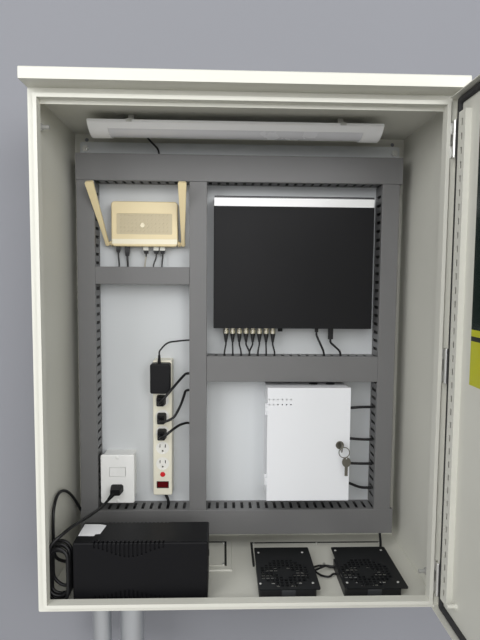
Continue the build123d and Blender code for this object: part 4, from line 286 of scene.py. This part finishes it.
def bundle(start, along, length, wide, seed):
    """A bundle along a duct, t along it and a round it. It reaches (wide / 2 - 6.5) L cos a to each
    side and 17 L sin a from its middle, with lumps L = 1 - 0.07 |cos 6 (a + twist)|, one for each
    wire, and slow sines of t that let it drift."""
    t = np.linspace(6.0, length - 6.0, max(8, int(length / 16)))[:, None]
    a = np.linspace(0, 2 * math.pi, 60, endpoint=False)[None, :]
    twist = 0.5 * np.sin(t / 61 + seed) + 0.3 * np.sin(t / 37 + 2 * seed)
    lump = 1 - 0.07 * np.abs(np.cos(6 * (a + twist)))
    aside = (wide / 2 - 6.5) * lump * np.cos(a) * (1 + 0.04 * np.sin(t / 29 + seed))
    out = BUNDLE_Y + 17.0 * lump * np.sin(a) + 1.5 * np.sin(t / 43 + 3 * seed)
    if along == "x":
        return np.stack([start[0] + t + 0 * a, out, start[1] + aside], axis=-1)
    return np.stack([start[0] - aside, out, start[1] + t + 0 * a], axis=-1)


# Each run: where it starts in X and Z, its direction, its length and the duct's width, in millimetres.
BUNDLE_Y = -47.0
DUCT_RUNS = (
    ((-375.0, 406.0), "x", 745.0, 60.0),
    ((-375.0, -424.0), "x", 745.0, 60.0),
    ((-78.5, -54.0), "x", 402.0, 60.0),
    ((-354.0, -393.5), "z", 769.0, 40.0),
    ((-99.0, -393.5), "z", 769.0, 40.0),
    ((344.0, -393.5), "z", 769.0, 40.0),
    ((-333.5, 162.0), "x", 214.0, 40.0),
)
black_sheath = moulding("black_sheath", (0.010, 0.010, 0.011), rough=0.38, grain=900.0)
dull(black_sheath, 0.3)
# Black bundles: wires, and also dark stand-ins for the shade inside the ducts.
skin("duct_wires_and_shade", [bundle(*run, i + 1.0) for i, run in enumerate(DUCT_RUNS)], black_sheath)

# Lamp: a white extruded batten with an opal diffuser, unlit, under the ceiling. A black lead runs
# from it to the top duct.
lamp_white = powder_coat("lamp_white", (0.90, 0.90, 0.90), rough=0.35, peel=0.00005, dust=0.03)
opal = moulding("opal", (0.74, 0.74, 0.77), rough=0.25, grain=400.0, coat=0.3)
dress(lamp_white, "lamp_housing", "lamp_end_caps")
dress(opal, "lamp_diffuser")
dress(black_sheath, "lamp_lead")

# Router: cream moulding whose pierced panel looks darker, with a paler strip below the panel, a
# pale dot in its middle and two paddles. Its sockets take black, white and buff plugs.


def spot(finish, colour, centre, radius, rough=None):
    """Paints what lies within radius of centre, in metres on Object coordinates."""
    tree = finish.node_tree
    place = tree.nodes.new("ShaderNodeTexCoord")
    reach = tree.nodes.new("ShaderNodeVectorMath")
    reach.operation = "DISTANCE"
    reach.inputs[1].default_value = centre
    test = tree.nodes.new("ShaderNodeMath")
    test.operation = "LESS_THAN"
    test.inputs[1].default_value = radius
    tree.links.new(place.outputs["Object"], reach.inputs[0])
    tree.links.new(reach.outputs["Value"], test.inputs[0])
    lay_over(tree, test.outputs[0], colour, rough)


WHITE_PLUGS_X = -0.232
router_cream = moulding("router_cream", (0.80, 0.67, 0.40), rough=0.3, coat=0.25)
field(router_cream, (0.58, 0.50, 0.33), (-0.2905, -0.0566, 0.2575), (-0.1605, -0.02, 0.3065), 0.5)
field(router_cream, (0.88, 0.82, 0.64), (-0.302, -0.0575, 0.236), (-0.149, -0.0555, 0.247), 0.3)
spot(router_cream, (0.90, 0.82, 0.62), (-0.2303, -0.057, 0.2797), 0.0055, 0.3)
router_plugs = moulding("router_plugs", (0.010, 0.010, 0.011), rough=0.35)
field(router_plugs, (0.62, 0.62, 0.56), (WHITE_PLUGS_X, None, 0.2215), OPEN, 0.2)
field(router_plugs, (0.42, 0.40, 0.34), (WHITE_PLUGS_X, None, None), (-0.215, None, 0.207), 0.4)
dress(router_cream, "router_case", "antenna_knuckle_left", "antenna_left")
dress(router_cream, "antenna_knuckle_right", "antenna_right")
dress(router_plugs, "router_leads")

# Recorder: black coated sheet with a pale glossy front strip along its top edge, which ends in a
# dark band of painted shade at its very top.
SHADE_BAND_Z = 0.3415
recorder_black = powder_coat("recorder_black", (0.006, 0.006, 0.007), rough=0.5, peel=0.0002, dust=0.1)
recorder_strip = moulding("recorder_strip", (0.90, 0.90, 0.90), rough=0.18, coat=0.5, drift=0.02)
# Painted shade: the strip is near-black along its top edge.
field(recorder_strip, (0.05, 0.05, 0.055), (None, None, SHADE_BAND_Z), OPEN, 0.3)
dull(recorder_black, 0.22)
dress(recorder_black, "recorder_case")
dress(recorder_strip, "recorder_bezel")
dress(black_sheath, "video_leads", "recorder_leads")

# Video plugs: nickel plated bayonet collars above black crimp boots, in one row below the
# recorder. Collar and boot are one node, so the finish changes at a height.


def nickel_and_rubber(name, split_z):
    """Nickel above the height split_z and black rubber below it."""
    both = plated(name, (0.70, 0.66, 0.55), rough=0.25, streak=200.0)
    tree = both.node_tree
    shader = tree.nodes["Principled BSDF"]
    place = tree.nodes.new("ShaderNodeTexCoord")
    parts = tree.nodes.new("ShaderNodeSeparateXYZ")
    above = tree.nodes.new("ShaderNodeMath")
    above.operation = "GREATER_THAN"
    above.inputs[1].default_value = split_z
    pick = tree.nodes.new("ShaderNodeMixRGB")
    pick.inputs["Color1"].default_value = (0.012, 0.012, 0.013, 1)
    tree.links.new(place.outputs["Object"], parts.inputs["Vector"])
    tree.links.new(parts.outputs["Z"], above.inputs[0])
    tree.links.new(above.outputs["Value"], pick.inputs["Fac"])
    tree.links.new(shader.inputs["Base Color"].links[0].from_socket, pick.inputs["Color2"])
    tree.links.new(pick.outputs["Color"], shader.inputs["Base Color"])
    tree.links.new(above.outputs["Value"], shader.inputs["Metallic"])
    return both


COLLAR_FOOT_Z = 0.0265
dress(nickel_and_rubber("video_plug_nickel", COLLAR_FOOT_Z), "video_plugs")

# Power strip: ivory case with white outlet faces, a black rocker seat with a dark red rocker and
# a red reset button. Its plugs and adapter are black mouldings. The slots of the two free outlets
# are painted near-black inside as painted shade.
STRIP_X = -0.184
OUTLET_ZS = [-0.0935 - 0.0387 * outlet for outlet in range(6)]
FREE_OUTLETS = OUTLET_ZS[4:]
strip_ivory = moulding("strip_ivory", (0.78, 0.75, 0.62), rough=0.35, coat=0.1)
for outlet_z in OUTLET_ZS:
    spot(strip_ivory, (0.80, 0.79, 0.74), (STRIP_X, -0.065, outlet_z), 0.0155, 0.3)
field(strip_ivory, (0.012, 0.012, 0.012), (-0.1985, -0.0655, -0.3475), (-0.1695, -0.050, -0.3305), 0.3)
# Painted shade: the insides of the free outlets' slots are near-black.
for outlet_z in FREE_OUTLETS:
    slot_shade_low, slot_shade_high = (-0.193, -0.0630, outlet_z - 0.008), (-0.172, -0.045, outlet_z + 0.008)
    field(strip_ivory, (0.01, 0.01, 0.01), slot_shade_low, slot_shade_high)
rocker_red = moulding("rocker_red", (0.10, 0.006, 0.008), rough=0.15, coat=0.6)
reset_red = moulding("reset_red", (0.62, 0.015, 0.02), rough=0.3, coat=0.2)
plug_black = moulding("plug_black", (0.005, 0.005, 0.006), rough=0.5, grain=700.0, depth=0.00015)
dull(plug_black, 0.22)
dress(strip_ivory, "power_strip")
dress(rocker_red, "strip_rocker")
dress(reset_red, "strip_reset_button")
dress(plug_black, "strip_plugs")
dress(black_sheath, "strip_leads")

# Wall socket: white faceplate on a shallow box, with a flush rocker. Small domed caps cover its two
# screws.


def turned(profile, foot, axis, sides=24):
    """A profile of pairs (r, h) carried round an axis: foot + r (cos a aside + sin a across) + h axis."""
    axis = np.array(axis, float)
    helper = (0.0, 0.0, 1.0) if abs(axis[2]) < 0.9 else (1.0, 0.0, 0.0)
    aside = np.cross(axis, helper)
    aside /= np.linalg.norm(aside)
    across = np.cross(axis, aside)
    angle = np.linspace(0, 2 * math.pi, sides, endpoint=False)
    ring = np.cos(angle)[:, None] * aside + np.sin(angle)[:, None] * across
    radius, height = np.array(profile, float).T
    return np.array(foot) + radius[:, None, None] * ring + height[:, None, None] * axis


CAP = ((4.2, -0.4), (4.2, 0.5), (3.6, 1.1), (2.0, 1.5), (0.4, 1.6))
CAP_FEET = ((-290.0, -75.0, -268.5), (-290.0, -75.0, -373.5))
socket_white = moulding("socket_white", (0.88, 0.88, 0.86), rough=0.3, coat=0.2, drift=0.02)
dress(socket_white, "socket_box", "socket_faceplate", "socket_switch")
socket_caps = skin("socket_caps", [turned(CAP, foot, (0, -1, 0)) for foot in CAP_FEET], socket_white)

# Uninterruptible supply: black moulded case with rows of vent grooves. One blank white label lies
# on it near its left end.


def blank_label(outline, low, high):
    """A thin slab: the outline at its low and its high level."""
    return np.array([[(x, y, z) for x, y in outline] for z in (low, high)], float)


LABEL = (
    (-336, -248),
    (-303, -249),
    (-302, -241),
    (-292.5, -240),
    (-288, -203.5),
    (-302, -198.5),
    (-335, -197),
)
LABEL_LOW, LABEL_HIGH = -372.6, -372.1
ups_black = moulding("ups_black", (0.0065, 0.0065, 0.0075), rough=0.42, grain=1800.0, depth=0.0001)
dull(ups_black, 0.12)
ups_label = moulding("ups_label", (0.78, 0.78, 0.80), rough=0.5, drift=0.03)
dress(ups_black, "ups_case", "ups_button")
dress(plug_black, "ups_plug")
label = skin("supply_label", [blank_label(LABEL, LABEL_LOW, LABEL_HIGH)], ups_label, smooth=False)

# Supply cord of the uninterruptible supply: 1.61 m of round black lead from the case's left side,
# in a hank of five turns that stands beside the case, then over the case to its plug in the wall
# socket. Control points of a fold stand a little outside its arc.


def lead_curve(name, points, diameter, finish):
    """One open NURBS spline of order 3 through control points in metres, with a round section."""
    curve = bpy.data.curves.new(name, "CURVE")
    curve.dimensions = "3D"
    curve.bevel_depth = diameter / 2
    curve.bevel_resolution = 4
    curve.resolution_u = 6
    curve.use_fill_caps = True
    spline = curve.splines.new("NURBS")
    spline.points.add(len(points) - 1)
    rows = np.ones((len(points), 4))
    rows[:, :3] = points
    spline.points.foreach_set("co", rows.ravel())
    spline.order_u = 3
    spline.use_endpoint_u = True
    curve.materials.append(finish)
    piece = bpy.data.objects.new(name, curve)
    bpy.context.scene.collection.objects.link(piece)
    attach(piece, "cabinet")
    return piece


LEAD_D = 0.0066
UPS_EXIT = (-0.34415, -0.247, -0.478)
EXIT_Y, EXIT_Z = UPS_EXIT[1:]
HANK_X = -0.368
FOLD_R = 0.0197
LEFT_X = HANK_X - FOLD_R
RIGHT_X = HANK_X + FOLD_R
LAYER = 0.00676
RUN_INSET = 0.015
FOLD_STEP = 20
TOPS = (-0.4010, -0.4075, -0.4010, -0.4110, -0.4035)
FEET = (-0.4745, -0.4670, -0.4745, -0.4640, -0.4735)
TO_PLUG = [
    (-0.387, -0.2815, -0.392),
    (-0.3795, -0.279, -0.3715),
    (-0.363, -0.268, -0.3605),
    (-0.3505, -0.246, -0.355),
    (-0.342, -0.224, -0.357),
    (-0.326, -0.172, -0.361),
    (-0.31192, -0.12508, -0.36392),
    (-0.304, -0.111, -0.356),
]
fold = np.radians(np.arange(FOLD_STEP / 2, 180, FOLD_STEP))
swing = FOLD_R / math.cos(math.radians(FOLD_STEP / 2))
over = np.linspace(0.06, 0.94, len(fold)) * LAYER
hank = [UPS_EXIT, (-0.356, EXIT_Y, EXIT_Z), (-0.371, EXIT_Y, EXIT_Z)]
hank += [(LEFT_X, EXIT_Y, z) for z in (-0.4613, -0.440, -0.412)]
for turn, (top, foot) in enumerate(zip(TOPS, FEET)):
    y = EXIT_Y - LAYER * turn
    hank += list(zip(HANK_X - swing * np.cos(fold), y - over, top + swing * np.sin(fold)))
    y -= LAYER
    hank += [(RIGHT_X, y, top - RUN_INSET), (RIGHT_X, y, foot + RUN_INSET)]
    hank += list(zip(HANK_X + swing * np.cos(fold), np.full(len(fold), y), foot - swing * np.sin(fold)))
    hank += [(LEFT_X, y, foot + RUN_INSET), (LEFT_X, y, -0.418)]
ups_lead = lead_curve("ups_lead", hank + TO_PLUG, LEAD_D, black_sheath)
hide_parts("ups_cord", "ups_cord_hank")

# Feed cord of the strip: 0.385 m of round black lead out of the bottom duct's end, over one arc
# into the left side of the uninterruptible supply.
FEED = (
    (-0.3735, -0.056, -0.421),
    (-0.380, -0.066, -0.400),
    (-0.385, -0.090, -0.366),
    (-0.389, -0.126, -0.331),
    (-0.3915, -0.166, -0.309),
    (-0.392, -0.203, -0.305),
    (-0.3915, -0.230, -0.326),
    (-0.391, -0.234, -0.362),
    (-0.3905, -0.234, -0.398),
    (-0.390, -0.231, -0.428),
    (-0.3725, -0.216, -0.446),
    (-0.34415, -0.216, -0.446),
)
feed_lead = lead_curve("feed_lead", FEED, LEAD_D, black_sheath)
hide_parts("strip_feed_cord")

# Fans: black frames and impellers below black coated guards, which four screws hold. A connector
# block stands at the middle of each fan's front.


def soft_block(centre, half, power=0.2, rows=12, columns=32):
    """A box with rounded corners: half times (C(v) C(u), C(v) S(u), S(v)), where C and S are cosine
    and sine, raised to a small power with their sign kept."""
    v = np.linspace(-0.5 * math.pi, 0.5 * math.pi, rows)[:, None]
    u = np.linspace(0, 2 * math.pi, columns, endpoint=False)[None, :]

    def raised(s):
        return np.sign(s) * np.abs(s) ** power

    x = raised(np.cos(v)) * raised(np.cos(u))
    y = raised(np.cos(v)) * raised(np.sin(u))
    z = raised(np.sin(v)) * np.ones_like(u)
    return np.array(centre) + np.stack([x, y, z], axis=-1)[1:-1] * np.array(half)


BLOCK_HALF = (14.5, 1.2, 9.0)
BLOCKS = ((97.0, -270.6, -489.0), (275.0, -270.6, -489.0))
GUARD_TOP = -477.5
SCREW = ((2.9, -0.3), (2.9, 0.4), (2.4, 1.1), (1.4, 1.5), (0.3, 1.6))
LEFT_FAN_SCREWS = ((44, -127), (40, -250), (150, -250), (146, -127))
RIGHT_FAN_SCREWS = ((225, -120), (333, -120), (222, -250), (330, -250))
fan_black = moulding("fan_black", (0.010, 0.010, 0.011), rough=0.45)
guard_black = powder_coat("guard_black", (0.009, 0.010, 0.011), rough=0.4, peel=0.0001, dust=0.2)
dull(guard_black, 0.3)
block_grey = moulding("block_grey", (0.035, 0.037, 0.040), rough=0.5)
dress(fan_black, "fan_frames", "fan_impeller_left", "fan_impeller_right")
dress(guard_black, "fan_covers")
dress(black_sheath, "fan_leads")
fan_blocks = skin("fan_blocks", [soft_block(centre, BLOCK_HALF) for centre in BLOCKS], block_grey)
screws = [turned(SCREW, (x, y, GUARD_TOP), (0, 0, 1)) for x, y in LEFT_FAN_SCREWS + RIGHT_FAN_SCREWS]
fan_screws = skin("fan_screws", screws, zinc)

# Video supply box: white coated tray and lid with a power unit of plain metal inside. Its cam lock
# and keys, and the two locks of the door, are dark plated steel.
supply_white = powder_coat("supply_white", (0.76, 0.77, 0.79), rough=0.4, peel=0.00012, dust=0.02)
unit_metal = plated("unit_metal", (0.66, 0.67, 0.68), rough=0.4)
lock_steel = plated("lock_steel", (0.20, 0.19, 0.16), rough=0.28, streak=150.0)
dress(supply_white, "supply_box", "supply_lid")
dress(unit_metal, "supply_unit")
dress(lock_steel, "supply_lock", "door_lock_upper", "door_lock_lower")
dress(black_sheath, "supply_leads")

# Gasket of the door: dark foam with open pores, glued round its inside where the cabinet's rim
# presses on it.
gasket_black = moulding("gasket_black", (0.025, 0.025, 0.026), rough=0.8, grain=1200.0, depth=0.0004)
dress(gasket_black, "door_gasket")

# Wall, floor, camera and light: a plain wall stands for the photograph's plaster. Its back shows
# nothing and it holds back no daylight, so that the cabinet can be seen from behind.


def plain(name, corners, colour):
    """One flat matt sheet of the stage, seen from its front only."""
    mesh = bpy.data.meshes.new(name)
    mesh.from_pydata(corners, [], [(0, 1, 2, 3)])
    sheet = bpy.data.objects.new(name, mesh)
    bpy.context.scene.collection.objects.link(sheet)
    finish = bpy.data.materials.new(name)
    finish.use_nodes = True
    tree = finish.node_tree
    shader = tree.nodes["Principled BSDF"]
    shader.inputs["Base Color"].default_value = (*colour, 1)
    shader.inputs["Roughness"].default_value = 0.9
    clear = tree.nodes.new("ShaderNodeBsdfTransparent")
    side = tree.nodes.new("ShaderNodeNewGeometry")
    show = tree.nodes.new("ShaderNodeMixShader")
    tree.links.new(side.outputs["Backfacing"], show.inputs["Fac"])
    tree.links.new(shader.outputs["BSDF"], show.inputs[1])
    tree.links.new(clear.outputs["BSDF"], show.inputs[2])
    tree.links.new(show.outputs["Shader"], tree.nodes["Material Output"].inputs["Surface"])
    mesh.materials.append(finish)
    return sheet


WALL_Y = 0.002
FLOOR_Z = -1.3
FAR_X, NEAR_Y, TOP_Z = 4, -6, 4
foot_left, foot_right = (-FAR_X, WALL_Y, FLOOR_Z), (FAR_X, WALL_Y, FLOOR_Z)
wall_corners = [foot_left, foot_right, (FAR_X, WALL_Y, TOP_Z), (-FAR_X, WALL_Y, TOP_Z)]
floor_corners = [(-FAR_X, NEAR_Y, FLOOR_Z), (FAR_X, NEAR_Y, FLOOR_Z), foot_right, foot_left]
wall = plain("wall", wall_corners, (0.235, 0.240, 0.262))
wall.visible_diffuse = False
plain("floor", floor_corners, (0.52, 0.51, 0.50))

CAMERA_PLACE = (-0.04110, -1.28636, 0.15226)
YAW, PITCH, ROLL = -0.03269, -0.07566, 0.00814
FOCAL_PX, PHOTO_HEIGHT_PX, SENSOR_MM = 519.17, 640.0, 36.0
forward = np.array([-math.sin(YAW) * math.cos(PITCH), math.cos(YAW) * math.cos(PITCH), math.sin(PITCH)])
level = np.array([math.cos(YAW), math.sin(YAW), 0.0])
upright = np.cross(level, forward)
right = math.cos(ROLL) * level + math.sin(ROLL) * upright
up = -math.sin(ROLL) * level + math.cos(ROLL) * upright
lens = bpy.data.cameras.new("camera")
lens.sensor_fit = "VERTICAL"
lens.sensor_height = SENSOR_MM
lens.lens = FOCAL_PX * SENSOR_MM / PHOTO_HEIGHT_PX
lens.clip_start = 0.05
camera = bpy.data.objects.new("camera", lens)
pose = np.eye(4)
pose[:3] = np.column_stack([right, up, -forward, CAMERA_PLACE])
camera.matrix_world = Matrix(pose.tolist())
bpy.context.scene.collection.objects.link(camera)
bpy.context.scene.camera = camera

scene = bpy.context.scene
scene.view_settings.view_transform = "Standard"
world = bpy.data.worlds.new("daylight")
scene.world = world
world.use_nodes = True
world.node_tree.nodes["Background"].inputs["Color"].default_value = (0.93, 0.96, 1.0, 1)
world.node_tree.nodes["Background"].inputs["Strength"].default_value = 0.2


def soft_light(name, place, size, power):
    """A large square area lamp at place that faces the origin."""
    lamp = bpy.data.lights.new(name, "AREA")
    lamp.size = size
    lamp.energy = power
    holder = bpy.data.objects.new(name, lamp)
    holder.rotation_euler = (-Vector(place)).to_track_quat("-Z", "Y").to_euler()
    holder.location = place
    scene.collection.objects.link(holder)


soft_light("sky_light", (-0.6, -3.0, 3.2), 3.0, 60)
soft_light("left_light", (-2.6, -3.0, 1.2), 2.2, 72)
soft_light("right_light", (2.0, -3.6, 1.0), 2.2, 95)
soft_light("front_light", (0.0, -4.0, 0.9), 2.2, 38)
